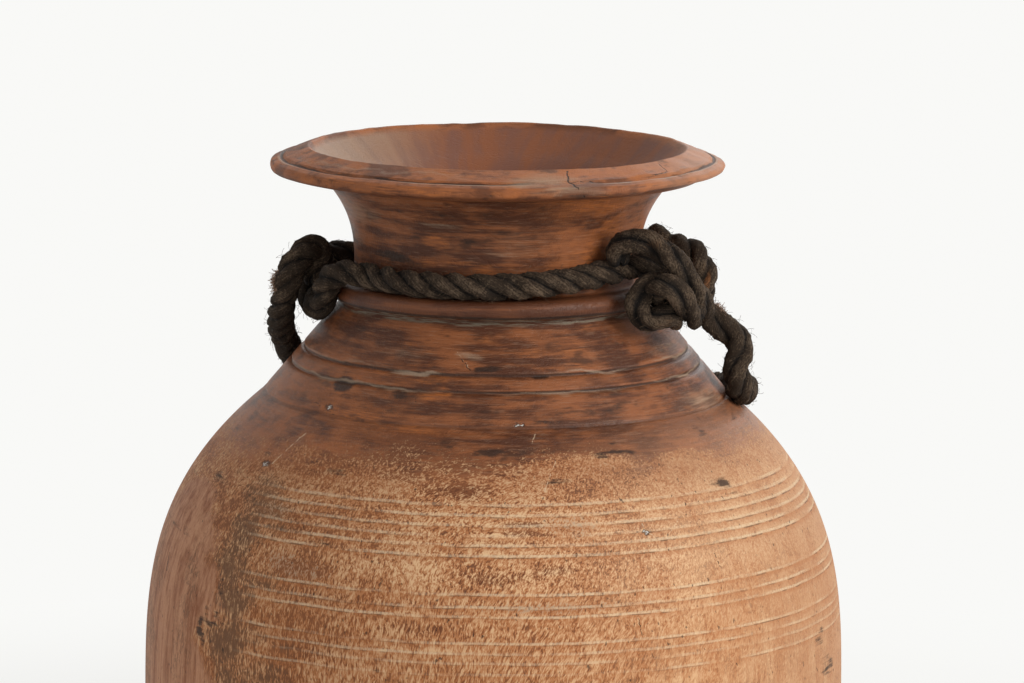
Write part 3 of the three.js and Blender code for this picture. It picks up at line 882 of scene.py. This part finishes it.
glowMarks = [
    (-50, 312, 12, 2.2, 0.6), (-38, 304, 14, 4, 0.8), (-16, 314.5, 8, 4.6, 0.8), (-19, 301, 13, 3, 0.7),
    (-35, 321, 12, 2, 0.7), (15, 326, 20, 2.2, 0.6), (-20, 321, 12, 2, 0.6), (0, 337, 8, 6, 0.5),
    (25, 334, 10, 7, 0.5), (-24, 335, 12, 5, 0.45), (36, 343, 12, 4, 0.45), (9, 316, 10, 2, 0.4),
    (44, 317, 14, 3, 0.4), (10, 334, 12, 6, 0.45), (48, 303, 15, 4, 0.4), (18, 297, 16, 3, 0.4),
    (-60, 297, 14, 5, 0.4), (-30, 293, 16, 4, 0.35), (-24, 382, 6, 5, 0.9), (33, 401, 13, 7, 1.1),
    (45, 399, 9, 5, 0.9), (38, 374, 10, 6, 0.7), (30, 380, 14, 9, 0.5), (22, 371, 10, 4, 0.6),
    (-25, 372, 20, 4, 0.7), (-5, 369, 14, 3.6, 0.7), (27, 384, 10, 8, 0.45), (48, 390, 12, 7, 0.5),
    (-15, 390, 20, 7, 0.35), (-20, 410.5, 18, 2.8, 1.0), (-42, 411.5, 10, 2.6, 0.9), (-5, 416, 10, 1.4, 0.7),
    (55, 412, 10, 2, 0.4), (-70, 412, 10, 2, 0.5), (5, 410.5, 8, 2.2, 0.4), (95, 309, 10, 4, 0.7),
    (120, 326, 12, 3, 0.6), (155, 305, 13, 4, 0.8), (-120, 315, 10, 4, 0.8), (-165, 309, 10, 3, 0.6),
    (-95, 332, 9, 4, 0.5), (110, 385, 12, 6, 0.7), (170, 378, 14, 5, 0.7), (-120, 392, 14, 6, 0.6),
]
# dust, and on the neck's left (the marks at -62 and -74 degrees) a painted reflection
dustAndSheenMarks = [
    (-50, 316.2, 48, 1.0, 0.65), (20, 316.0, 30, 0.8, 0.5), (70, 317.0, 30, 0.9, 0.7),
    (-60, 324.2, 45, 0.9, 0.5), (-24, 323.4, 9, 1.1, 0.9), (30, 324, 22, 0.8, 0.6),
    (75, 324.4, 24, 1.0, 0.7), (140, 316.4, 50, 1.0, 0.7), (-150, 324.2, 40, 1.0, 0.7),
    (-30, 331, 16, 3.0, 0.35), (-8, 332, 6, 2.4, 0.5), (-62, 392, 20, 8, 0.45), (-74, 378, 16, 7, 0.35),
    (66, 328, 16, 6, 0.35), (66, 305, 18, 7, 0.5), (14, 415.0, 14, 3.2, 0.62), (18, 410.5, 13, 3.2, 0.5),
    (-40, 416.2, 46, 0.7, 0.5), (-20, 390, 12, 1.6, 0.5), (5, 376, 12, 1.8, 0.4), (-36, 240, 9, 7, 0.62),
    (-44, 262, 8, 7, 0.4), (30, 285, 14, 5, 0.3), (14, 262, 8, 6, 0.35), (12, 229, 16, 3, 0.45),
    (120, 347, 60, 1.6, 0.5), (8, 382, 12, 8, 0.25), (-70, 300, 20, 10, 0.2),
]
smoothMarks = [
    # the smooth side, where flecks and scratches are gone
    (-72, 222, 21, 44, 1.0), (-76, 176, 25, 44, 1.0), (-80, 120, 28, 50, 1.0), (-70, 256, 12, 12, 0.8),
    (-84, 205, 20, 52, 0.9), (-84, 70, 24, 40, 0.7),
]


markSway = {
    # how far the outline of a painted mark wanders, by slow and by quick noise
    "seed": 5,               # the noise would follow the clock without it
    "slow": 55, "slowReach": 1.6, "quick": 170, "quickReach": 0.9,   # waves to a metre, mm
    "turn": 2.2,             # degrees round the pot for each mm
}


def paintMarks(mesh, name, marks, values=markSway):
    # stores a soft spot for each mark, as a value on the points of the outside
    noise.seed_set(values["seed"])
    spots = []
    inner = mesh.attributes["inner"].data
    for index, vertex in enumerate(mesh.vertices):
        if inner[index].value < 0.5:
            x, y, z = vertex.co
            sway = noise.noise_vector(vertex.co * values["slow"]) * values["slowReach"]
            sway += noise.noise_vector(vertex.co * values["quick"]) * values["quickReach"]
            turn = math.degrees(math.atan2(x, -y)) + sway.x * values["turn"]
            spots.append((z * 1000 + sway.z, turn, index))
    spots.sort()
    heights = [spot[0] for spot in spots]
    amount = [0.0] * len(mesh.vertices)
    for angle, height, wide, tall, strength in marks:
        first, last = bisect.bisect(heights, height - tall), bisect.bisect(heights, height + tall)
        for z, turn, index in spots[first:last]:
            across = (turn - angle + 180) % 360 - 180
            if abs(across) < wide:
                near = 1 - (across / wide) ** 2 - ((z - height) / tall) ** 2
                if near > 0:
                    amount[index] = max(amount[index], strength * near ** 0.75)
    mesh.attributes.new(name, "FLOAT", "POINT")
    mesh.attributes[name].data.foreach_set("value", amount)


rimWear = {
    # nothing below the first height is worn, and the wear is full above the second
    "from": 0.4045, "full": 0.4105,
    "wave": 0.0011, "pull": 0.0010, "rough": 0.00012,
    "faceFrom": 0.4125,                           # the rim's upper face
    "filled": ((1, 8), (22, 30)),                 # degrees between which the groove has filled up
    "split": ((26, 34), (56, 66)),                # and between which a crack runs along it
    "splitRadius": 0.1020, "splitHalfWidth": 0.0012, "splitDepth": 0.0011,
    "thin": ((34, 44), (86, 100)),                # where the lip is worn thin from below
    "thinBelow": (0.4085, 0.4120), "thinOutside": 0.096, "thinDepth": 0.0016,
    "sunk": 0.0006,                               # how far the wear lowers the rim on average
}


def wearRim(mesh, values, shape=potShape):
    # the groove in the rim's face fades, the lip is worn thin at the right, and every edge is a little wavy
    inner = mesh.attributes["inner"].data
    for index, vertex in enumerate(mesh.vertices):
        x, y, z = vertex.co
        if z < values["from"]:
            continue
        radius = math.hypot(x, y)
        angle = math.degrees(math.atan2(x, -y))
        spot = Vector((x, y, 0)).normalized()
        slow = noise.noise(spot * 2.3 + Vector((4.1, 0.7, 2.0)))
        quick = noise.noise(spot * 9.0 + Vector((1.7, 3.3, 0.4)))
        fine = noise.noise(Vector((x, y, z)) * 260)
        share = min(1.0, (z - values["from"]) / (values["full"] - values["from"]))
        onFace = z > values["faceFrom"]
        drop = 0.0
        if inner[index].value < 0.5:
            if onFace:
                off = abs(radius - shape["rimGroove"]) / shape["rimGrooveHalfWidth"]
                drop -= max(0.0, 1 - off) * shape["rimGrooveDepth"] * between(angle, *values["filled"])
                wander = values["splitRadius"] + values["splitHalfWidth"] * quick
                if abs(radius - wander) < values["splitHalfWidth"]:
                    drop += values["splitDepth"] * between(angle, *values["split"])
            if radius > values["thinOutside"]:
                low = 1 - smoothStep(z, *values["thinBelow"])
                drop -= values["thinDepth"] * between(angle, *values["thin"]) * low
        dip = values["wave"] * (0.5 + 0.5 * slow + 0.25 * quick) * share
        pull = values["pull"] * max(0.0, 0.35 + slow * 0.5 + quick * 0.5) * share
        vertex.co.z = z - dip - drop + values["rough"] * (fine - 0.6) * share
        scale = (radius - pull) / radius
        vertex.co.x, vertex.co.y = x * scale, y * scale


def potPlace(angle, height):
    # a point on the outside of the pot, from degrees and mm
    z = height / 1000
    radius = next(r + (q - r) * (z - h) / (k - h)
                  for (r, h), (q, k) in zip(outline, outline[1:]) if h <= z < k)
    turn = math.radians(angle)
    sunk = rimWear["sunk"] if z > rimWear["from"] else 0.0
    return (radius * math.sin(turn), -radius * math.cos(turn), z - sunk)


cracks = [
    # from angle and height in mm to angle and height, half width in mm
    (20.4, 418.6, 18.8, 415.0, 0.38), (18.8, 415.0, 20.0, 412.9, 0.52), (20.0, 412.9, 21.8, 408.2, 0.42),
    (19.4, 414.4, 25.5, 414.3, 0.40), (54.0, 418.4, 52.4, 415.6, 0.45), (52.4, 415.6, 44.5, 415.3, 0.45),
    (-73, 230.5, -72, 222.5, 0.35), (-10.5, 330, -7.0, 325, 0.22), (-22, 315.5, -21, 311.5, 0.22),
    (-52, 306, -43, 303, 0.20), (24, 222, 24.6, 214, 0.20), (41, 246, 41.8, 239, 0.20),
]
paleScratches = [
    (-47.5, 294, -51, 280, 0.30), (9.5, 300, 8.4, 296, 0.20), (26.5, 260.5, 29.5, 256.5, 0.26),
    (27.6, 262, 28.2, 254.5, 0.22), (13, 289, 9.5, 276, 0.24), (-12, 333, -8, 327, 0.18),
    (35.5, 262, 32, 256, 0.15),
]
chips = [
    # angle, height in mm, half width in mm
    (-46, 305.5, 2.1), (6, 303.4, 1.7), (-53, 279.6, 2.2), (28, 258.2, 1.7),
]


def woodDesk(desk, look):
    # what every layer of the wood shares: place, painted marks, and noise for patches, streaks and strokes
    w = SimpleNamespace(desk=desk, look=look)
    w.tint = {name: colour(*value) for name, value in look.items() if isinstance(value, tuple)}
    w.place = desk.add("ShaderNodeTexCoord", out="Object")
    w.x, w.y, w.z = x, y, z = desk.split(w.place)
    for name in ("stain", "shade", "lift", "glow", "dust", "smooth", "inner"):
        setattr(w, name, desk.painted(name))
    w.outside = 1.0 - w.inner
    w.radius = desk.vector("LENGTH", desk.joined(x, y, 0.0), out="Value")

    def streaked(across, upright, detail=3.0, roughness=0.6):
        # noise drawn out along the way with the smaller number
        return desk.noise(desk.joined(x * across, y * across, z * upright), 1.0, detail, roughness)

    w.streaked = streaked
    w.patches = desk.noise(desk.joined(x, y, z * 1.6), 38.0, 3.0, 0.55)
    w.broad = desk.noise(desk.joined(x, y, z * 1.4), 14.0, 2.0, 0.5)
    w.grit = desk.noise(w.place, 1400.0, 2.0, 0.6)
    w.turned = streaked(55.0, 900.0, 4.0)
    w.hairTurned = streaked(130.0, 2000.0, 2.0)
    w.softTurned = streaked(22.0, 260.0, 3.0, 0.55)
    w.flow = streaked(60.0, 170.0)
    w.upright = streaked(420.0, 26.0, 4.0)
    w.wideUpright = streaked(110.0, 9.0, 3.0, 0.5)
    w.flowOff, w.patchOff, w.turnedOff = w.flow - 0.5, w.patches - 0.5, w.turned - 0.5

    w.rightward = desk.step(x, 0.020, 0.110)
    w.leftward = desk.step(x, -0.030, -0.090)
    w.upward = desk.step(z, 0.215, 0.260)

    # short strokes, leaning at the left, calmer at the right
    sway = desk.noise(w.place, 130.0, 2.0, 0.5) - 0.5
    slant = x - (z - 0.22) * look["fleckSlant"] * desk.step(x, -0.05, 0.03) + sway * 0.0036
    wide, tall = 1 / look["fleckWidth"], 1 / look["fleckHeight"]
    w.fine = desk.noise(desk.joined(slant * wide, y * wide + sway * 3.0, z * tall), 1.0, 2.0, 0.6)
    boldWide, boldTall = wide / 2.2, tall / 1.6
    bold = desk.noise(desk.joined(slant * boldWide, y * boldWide + sway, z * boldTall), 1.0, 2.0, 0.6)
    grain = w.fine * 0.58 + bold * 0.50 - 0.04
    grain = grain + w.patchOff * 0.27 + w.flowOff * 0.16 + w.rightward * 0.020 - w.leftward * 0.035
    w.grainOff = (grain - 0.5) * (1.0 + w.leftward * 0.25 - w.rightward * 0.20)
    w.grain = w.grainOff + 0.5
    return w


def over(w, base, amount, name):
    return w.desk.mixed(amount, base, w.tint[name])


def ragged(w, mark, value, low, high, soft=0.2):
    # a painted mark whose outline is broken up by the noise in the value
    return w.desk.step(value, low, high) * w.desk.step(mark, 0.0, soft)


def lightWood(w):
    # the belly: dark and light strokes, calm wood at the right, the smooth left side and brown clouds
    desk, tint = w.desk, w.tint
    w.smoothSide = desk.step(w.smooth + w.patchOff * 0.7 + (w.upright - 0.5) * 0.5, 0.10, 0.50) * w.outside
    base = desk.mixed(desk.step(w.grain, 0.385, 0.465), tint["fleck"], tint["orangeTan"])
    base = over(w, base, desk.step(w.grain, 0.440, 0.520), "tan")
    base = over(w, base, desk.step(w.grain, 0.500, 0.625), "paleTan")
    base = over(w, base, (1.0 - w.upward) * 0.16 + w.leftward * 0.22, "orangeTan")

    calm = desk.step(w.wideUpright * 0.5 + w.upright * 0.5 + w.upward * 0.05, 0.40, 0.60)
    calm = desk.mixed(calm, tint["tan"], tint["paleTan"])
    calm = over(w, calm, desk.step(w.upright, 0.50, 0.64) * (1.0 - w.upward) * 0.7, "orangeTan")
    calm = over(w, calm, w.upward * 0.30, "calmGrey")
    base = desk.mixed(w.rightward * 0.42 + 0.06, base, calm)
    # darker at the far right, low on the belly
    farRight = desk.step(w.x + w.patchOff * 0.03, 0.090, 0.150)
    base = over(w, base, farRight * desk.step(w.z, 0.285, 0.255) * 0.50, "farRightDarker")
    base = over(w, base, desk.step(w.z + w.patchOff * 0.016, 0.2660, 0.2850) * 0.42, "warmRed")

    side = desk.step(w.upright * 0.6 + w.wideUpright * 0.4, 0.36, 0.60)
    side = desk.mixed(side, tint["smoothRed"], tint["smoothSideAndLitBrown"])
    side = over(w, side, desk.step(w.fine, 0.55, 0.75) * 0.25, "paleTan")
    base = desk.mixed(w.smoothSide * 0.88, base, side)

    clouded = ragged(w, w.shade, w.shade * 1.1 - w.grainOff * 3.0 + w.flowOff, 0.20, 1.0)
    cloudTone = desk.mixed(desk.step(w.x, -0.085, -0.100), tint["fleck"], tint["bandBrown"])
    return desk.mixed(clouded * 0.74, base, cloudTone)


def rimWood(w):
    # the rim: streaked and patchy, with its groove, a dark underside and painted light on its right
    desk, tint, z = w.desk, w.tint, w.z
    tone = desk.step(w.softTurned * 0.4 + w.turned * 0.3 + w.patches * 0.3, 0.42, 0.58)
    tone = desk.mixed(tone, tint["warmRed"], tint["rimBrown"])
    tone = over(w, tone, desk.step(w.hairTurned * 0.5 + w.flow * 0.5, 0.54, 0.70) * 0.5, "hair")
    tone = over(w, tone, desk.step(w.turned * 0.5 + w.flow * 0.5, 0.46, 0.34) * 0.75, "darkRed")
    tone = over(w, tone, desk.step(w.patches + w.flowOff * 0.7, 0.46, 0.60) * 0.72, "darkRed")
    tone = over(w, tone, desk.step(w.patches - w.flowOff * 0.7, 0.48, 0.38) * 0.5, "glow")
    # painted light: the rim is lighter at its right, where the light falls
    tone = over(w, tone, desk.step(w.x, 0.055, 0.100) * 0.55, "smoothSideAndLitBrown")
    bearing = desk.maths("ARCTAN2", w.x, w.y * -1.0)
    filled = desk.step(bearing, 0.10, 0.20) * desk.step(bearing, 0.50, 0.40)
    onFace = desk.step(z, 0.4115, 0.4125) * (1.0 - filled)
    wavy = w.radius + w.flowOff * 0.0008
    groove = desk.stroke(wavy - w.look["rimLine"], 0.0005, 0.0011) * onFace
    # painted highlight: a pale line just outside the groove
    grooveEdge = desk.stroke(wavy - w.look["rimGrooveHighlight"], 0.0002, 0.0007) * onFace
    tone = over(w, tone, grooveEdge * desk.step(w.softTurned, 0.42, 0.56) * 0.55, "dust")
    tone = over(w, tone, groove * 0.85, "blackOil")
    lip = w.look["lipUnder"]
    return over(w, tone, desk.step(z + w.flowOff * 0.003, lip, lip - 0.0020) * 0.6, "darkRed")


def insideWood(w):
    # the inside of the mouth: soft bands that run down, and painted light on the left inner wall, which faces
    # the light from the right
    desk = w.desk
    around = desk.vector("NORMALIZE", desk.joined(w.x + (w.broad - 0.5) * 0.03, w.y, 0.0))
    spot = desk.vector("ADD", desk.scaled(around, 8.0), desk.joined(0.0, 0.0, w.z * 22.0))
    bands = desk.noise(spot, 1.0, 4.0, 0.55)
    tone = desk.step(bands * 0.75 + w.patches * 0.25, 0.42, 0.58)
    tone = desk.mixed(tone, w.tint["smoothRed"], w.tint["insideBrown"])
    # painted light: the left inner wall is lighter
    return over(w, tone, desk.step(w.x + (bands - 0.5) * 0.05, -0.020, -0.080) * 0.65, "dust")


def oiledWood(w, base):
    # dark oiled wood from the shoulder up, with painted light low on its right; light strokes poke up into it
    desk, tint, z = w.desk, w.tint, w.z
    edge = z + (w.broad - 0.5) * 0.014 + (w.softTurned - 0.5) * 0.014 + w.flowOff * 0.012
    edge = edge - w.lift * 0.010 - w.grainOff * 0.045
    w.dark = desk.step(edge, w.look["darkFrom"], w.look["darkTo"]).maths("MAXIMUM", w.inner)
    streaks = w.softTurned * 0.32 + w.patches * 0.44 + w.turned * 0.24 + desk.step(z, 0.304, 0.292) * 0.030
    oiled = desk.mixed(desk.step(streaks, 0.43, 0.58), tint["darkRed"], tint["warmRed"])
    oiled = over(w, oiled, desk.step(w.hairTurned, 0.52, 0.72) * 0.28, "hair")
    oiled = over(w, oiled, desk.step(w.hairTurned, 0.46, 0.28) * 0.45, "darkRed")
    low = desk.step(w.patches + w.grainOff * 0.5, 0.49, 0.58) * desk.step(z, 0.306, 0.298)
    oiled = over(w, oiled, low * 0.55, "darkRed")
    # painted light: low on the shoulder the right side is lighter, where the light falls
    oiled = over(w, oiled, w.rightward * desk.step(z, 0.310, 0.290) * 0.35, "smoothSideAndLitBrown")
    warmSide = w.leftward * desk.step(z, 0.335, 0.318)
    warmSide = warmSide + desk.step(w.x, 0.0, 0.06) * desk.step(z, 0.358, 0.362)
    oiled = over(w, oiled, warmSide * desk.step(w.flow, 0.34, 0.60) * 0.45, "glow")
    w.rimward = desk.step(z, w.look["rimFrom"], w.look["rimTo"])
    oiled = desk.mixed(w.rimward, oiled, rimWood(w))
    oiled = desk.mixed(w.inner, oiled, insideWood(w))
    return desk.mixed(w.dark, base, oiled)


def rubbedStainedAndShadowed(w, base):
    # places where the oil has rubbed off, black stains with a painted shadow line at the smooth side's edge,
    # and the dark lines in the turned grooves
    desk = w.desk
    rubbed = ragged(w, w.glow, w.glow * 1.1 + w.flowOff * 1.5 + w.turnedOff * 1.1, 0.30, 1.05, 0.25)
    glowTone = desk.mixed(desk.step(w.hairTurned, 0.40, 0.66), w.tint["warmRed"], w.tint["glow"])
    base = desk.mixed(rubbed * 0.9, base, glowTone)
    blot = w.stain * 1.25 + w.flowOff * 2.2 + w.turnedOff * 1.4 - w.grainOff * 0.5
    blot = ragged(w, w.stain, blot, 0.32, 1.05)
    strayBlot = desk.step(w.flow * 0.7 + w.turned * 0.3, 0.56, 0.68) * w.dark * w.outside * 0.75
    base = over(w, base, blot.maths("MAXIMUM", strayBlot) * 0.88, "blackOil")
    inked = desk.step(w.softTurned * 0.5 + w.patches * 0.5, 0.34, 0.54, 0.35, 1.0)
    for centre, strength in zip(potShape["grooveHeights"], w.look["grooveLines"]):
        off = w.z - centre + 0.0002 + w.flowOff * 0.0008
        base = over(w, base, desk.stroke(off, 0.0003, 0.0010, strength) * inked, "blackOil")
    return base


def ringWood(w, base):
    # the ring is darker, with a painted sheen on it, a painted shade line low on it where a crevice would be,
    # and a worn grey strip under that
    desk, z, look = w.desk, w.z, w.look
    low, high, soft = look["ringLow"], look["ringHigh"], look["ringEdge"]
    ring = desk.step(z, low, low + soft) * desk.step(z, high, high - soft)
    base = over(w, base, ring * 0.70, "darkRed")
    sheen = ring * desk.step(w.softTurned, 0.48, 0.62) * desk.stroke(z - look["ringSheen"], 0.0004, 0.0018)
    base = over(w, base, sheen * 0.40, "warmRed")
    strip = desk.step(z + w.flowOff * 0.002, look["stripLow"], look["stripLow"] + 0.0012)
    strip = strip * desk.step(z, low, low - soft)
    base = over(w, base, strip * 0.80, "darkRed")
    base = over(w, base, strip * desk.step(w.hairTurned * 0.5 + w.turned * 0.5, 0.44, 0.60) * 0.9, "greyDust")
    # painted shade: a dark line where the ring's bead meets the strip below
    line = desk.stroke(z - look["ringCreviceShade"] + w.flowOff * 0.0006, 0.0004, 0.0009)
    return over(w, base, line * 0.85, "crackAndShadow")


def scratchedRings(w, base):
    # turned scratch lines: a pale frayed line, a thin dark edge under it and an orange shade below
    desk = w.desk
    wobble = (desk.noise(desk.joined(w.x, w.y, w.z * 0.2), 34.0, 2.0) - 0.5) * 0.0014 + w.turnedOff * 0.0006
    level = w.z + wobble
    line, shadow, under = 0.0, 0.0, 0.0
    for height, strength in w.look["scratchGroups"]:
        line = desk.stroke(level - height, 0.00025, 0.00088, strength) + line
        shadow = desk.stroke(level - (height - 0.00080), 0.00012, 0.00042, strength) + shadow
        below = desk.step(level, height - 0.0036, height - 0.0009, 0.0, strength)
        under = below * desk.step(level, height - 0.0004, height - 0.0009) + under
    broken = desk.step(w.streaked(30.0, 150.0), 0.32, 0.60)
    frayed = desk.step(w.streaked(1100.0, 500.0, 2.0), 0.32, 0.58)
    nicked = desk.step(w.streaked(160.0, 300.0, 2.0), 0.44, 0.58)
    turnedArea = (1.0 - w.smoothSide * 0.9) * (1.0 - w.dark)
    turnedArea = turnedArea * desk.step(w.x - (w.z - 0.20) * 0.10, -0.122, -0.108)
    worn = turnedArea * broken
    w.scratched = line * worn
    base = over(w, base, under * turnedArea * 0.42, "orangeTan")
    base = over(w, base, w.scratched * (frayed * 0.55 + 0.18), "scratch")
    return over(w, base, shadow * worn * nicked * 0.75, "bandBrown")


def drawnLines(w, place, lines):
    # cracks or scratches, each a straight line that the shaken place makes ragged
    drawn = 0.0
    for startAngle, startHeight, endAngle, endHeight, wide in lines:
        gap = segmentGap(w.desk, place, potPlace(startAngle, startHeight), potPlace(endAngle, endHeight))
        drawn = w.desk.step(gap, wide * 0.0005, wide * 0.0016, 1.0, 0.0).maths("MAXIMUM", drawn)
    return drawn


def dustDamageAndPaintedLight(w, base):
    # dust in the grooves, a painted reflection on the neck's left, pores, pale scratches, chips with a
    # painted shadow round them, and cracks
    desk = w.desk
    streaky = w.grainOff * 3.0 * (1.0 - w.dark) + w.turnedOff * 1.1 * w.dark
    w.dusty = ragged(w, w.dust, w.dust + streaky + (w.grit - 0.5) * 0.3, 0.30, 0.85)
    base = over(w, base, w.dusty * 0.75, "dust")
    # on the dark wood the same marks spread as a soft haze: dust, and the painted reflection on the neck's
    # left
    haze = ragged(w, w.dust, w.dust + (w.hairTurned - 0.5) * 0.6, 0.0, 1.1, 0.3) * w.dark
    base = over(w, base, haze * 0.45, "dust")
    w.pores = desk.step(w.streaked(520.0, 300.0, 1.0, 0.5), 0.70, 0.78) * w.outside * (1.0 - w.dark)
    base = over(w, base, w.pores * 0.7, "crackAndShadow")
    jitter = desk.vector("SUBTRACT", desk.noise(w.place, 420.0, 2.0, out="Color"), (0.5, 0.5, 0.5))
    jitter = desk.scaled(jitter, 0.0022)
    shaken = desk.vector("ADD", w.place, jitter)
    torn = desk.vector("ADD", shaken, desk.scaled(jitter, 1.6))
    base = over(w, base, drawnLines(w, shaken, paleScratches) * 0.6, "scratch")
    flake, w.flakeEdge = 0.0, 0.0
    for angle, height, wide in chips:
        off = desk.vector("MULTIPLY", desk.vector("SUBTRACT", torn, potPlace(angle, height)), (0.8, 0.8, 1.9))
        gap = desk.vector("LENGTH", off, out="Value")
        flake = desk.step(gap, wide * 0.00045, wide * 0.0008, 1.0, 0.0).maths("MAXIMUM", flake)
        w.flakeEdge = desk.step(gap, wide * 0.0008, wide * 0.0015, 1.0, 0.0).maths("MAXIMUM", w.flakeEdge)
    # painted shadow: a dark ring round each chip
    base = over(w, base, w.flakeEdge * 0.75, "crackAndShadow")
    base = over(w, base, flake * desk.step(w.grit, 0.35, 0.55), "chip")
    w.split = drawnLines(w, shaken, cracks)
    return over(w, base, w.split, "crackAndShadow")


def wornWoodFinish(look):
    finish, desk = newFinish("wornWood")
    w = woodDesk(desk, look)
    base = oiledWood(w, lightWood(w))
    for layer in (rubbedStainedAndShadowed, ringWood, scratchedRings, dustDamageAndPaintedLight):
        base = layer(w, base)
    flecks = desk.step(w.grain, 0.50, 0.38) * (1.0 - w.smoothSide * 0.9)
    height = (w.turned * 0.35 * w.dark + flecks * -0.5 + w.upright * 0.30 + w.softTurned * 0.35
              - w.scratched * 0.9 - w.split * 2.2 - w.flakeEdge * 1.2 - w.pores * 0.7 + w.grit * 0.06)
    gloss = desk.step(w.dark + w.patchOff * 0.4, 0.2, 1.0)
    rough = 0.66 - gloss * 0.20 + w.dusty * 0.2 + w.rimward * 0.14 + w.turnedOff * 0.15
    endFinish(desk, desk.add("ShaderNodeBsdfPrincipled", None, {
        "Base Color": base, "Roughness": rough,
        "Normal": desk.bump(height, 0.55, 0.00045), "Specular IOR Level": 0.22}))
    return finish


outline, innerRow = potOutline()
outlineMesh = bpy.data.meshes.new("potOutline")
outlineMesh.from_pydata([(r, 0, h) for r, h in outline], [(i, i + 1) for i in range(len(outline) - 1)], [])
turnedPot = bake("turnedPot", outlineMesh, turnedPotTree(), {
    "Columns": potShape["around"] + 1, "Rows": len(outline), "Inner Row": innerRow,
    "Finish": wornWoodFinish(woodLook)})
wearRim(turnedPot.data, rimWear)
for markName, marks in (
        ("stain", blackMarks), ("shade", shadeMarks), ("lift", liftMarks), ("glow", glowMarks),
        ("dust", dustAndSheenMarks), ("smooth", smoothMarks)):
    paintMarks(turnedPot.data, markName, marks)
rideAs(turnedPot, "pot", "pot_body")
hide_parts("pot_body")
print("pot turned:", len(outline), "rows,", len(turnedPot.data.polygons), "faces")


studio = {
    "floorSize": 12.0,
    "floorColour": (0.80, 0.80, 0.785),
    "floorCloud": (0.70, 0.70, 0.69),
    "floorFadeFrom": 0.45,   # from here the floor turns into the white background
    "floorFadeTo": 1.0,
    "worldStrength": 0.50,
    "background": (0.947, 0.946, 0.928),
    "lampAim": (0, 0, 0.25),
    "lamps": [
        # name, place, size, watts, colour
        ("keyLamp", (2.3, -1.3, 1.5), 1.5, 78.0, (1.0, 0.985, 0.95)),
        ("fillLamp", (-1.6, -2.2, 0.9), 2.0, 12.0, (0.97, 0.985, 1.0)),
        ("backLamp", (0.6, 2.2, 1.6), 1.6, 20.0, (1.0, 1.0, 1.0)),
    ],
}


def seenRays(desk):
    # 1 for what the camera sees straight, in gloss or through glass
    rays = desk.add("ShaderNodeLightPath", out=None)
    camera, gloss, glass = [
        Wire(desk, rays.outputs[name]) for name in ("Is Camera Ray", "Is Glossy Ray", "Is Transmission Ray")]
    return camera.maths("MAXIMUM", gloss).maths("MAXIMUM", glass)


def makeFloor(values):
    size = values["floorSize"] / 2
    mesh = bpy.data.meshes.new("floor")
    corners = [(-size, -size, 0), (size, -size, 0), (size, size, 0), (-size, size, 0)]
    mesh.from_pydata(corners, [], [(0, 1, 2, 3)])
    floor = bpy.data.objects.new("floor", mesh)
    bpy.context.collection.objects.link(floor)
    finish, desk = newFinish("paleFloor")
    place = desk.add("ShaderNodeTexCoord", out="Object")
    cloudy = desk.noise(place, 3.0, 3.0) * 0.06
    tone = desk.mixed(cloudy, colour(*values["floorColour"]), colour(*values["floorCloud"]))
    near = desk.add("ShaderNodeBsdfPrincipled", None, {"Base Color": tone, "Roughness": 0.9})
    far = desk.add("ShaderNodeEmission", None, {"Color": colour(*values["background"]), "Strength": 1.0})
    away = desk.vector("LENGTH", place, out="Value")
    fade = desk.step(away, values["floorFadeFrom"], values["floorFadeTo"]) * seenRays(desk)
    endFinish(desk, desk.add("ShaderNodeMixShader", None, {0: fade, 1: near, 2: far}))
    mesh.materials.append(finish)


def makeWorld(values):
    world = bpy.data.worlds.new("studio")
    bpy.context.scene.world = world
    world.use_nodes = True
    world.node_tree.nodes.clear()
    desk = NodeDesk(world.node_tree)
    light, seen = [desk.add("ShaderNodeBackground", None, {"Color": colour(*tone), "Strength": strength})
                   for tone, strength in (((1, 1, 1), values["worldStrength"]), (values["background"], 1.0))]
    both = desk.add("ShaderNodeMixShader", None, {0: seenRays(desk), 1: light, 2: seen})
    endFinish(desk, both, "ShaderNodeOutputWorld")


def makeLamps(values):
    for name, place, size, power, tint in values["lamps"]:
        data = bpy.data.lights.new(name, "AREA")
        data.shape = "SQUARE"
        data.size = size
        data.energy = power
        data.color = tint
        lamp = bpy.data.objects.new(name, data)
        lamp.location = place
        lamp.rotation_euler = (Vector(values["lampAim"]) - Vector(place)).to_track_quat("-Z", "Y").to_euler()
        bpy.context.collection.objects.link(lamp)


for make in (makeFloor, makeWorld, makeLamps):
    make(studio)
bpy.context.scene.view_settings.view_transform = "Standard"
print("studio set")
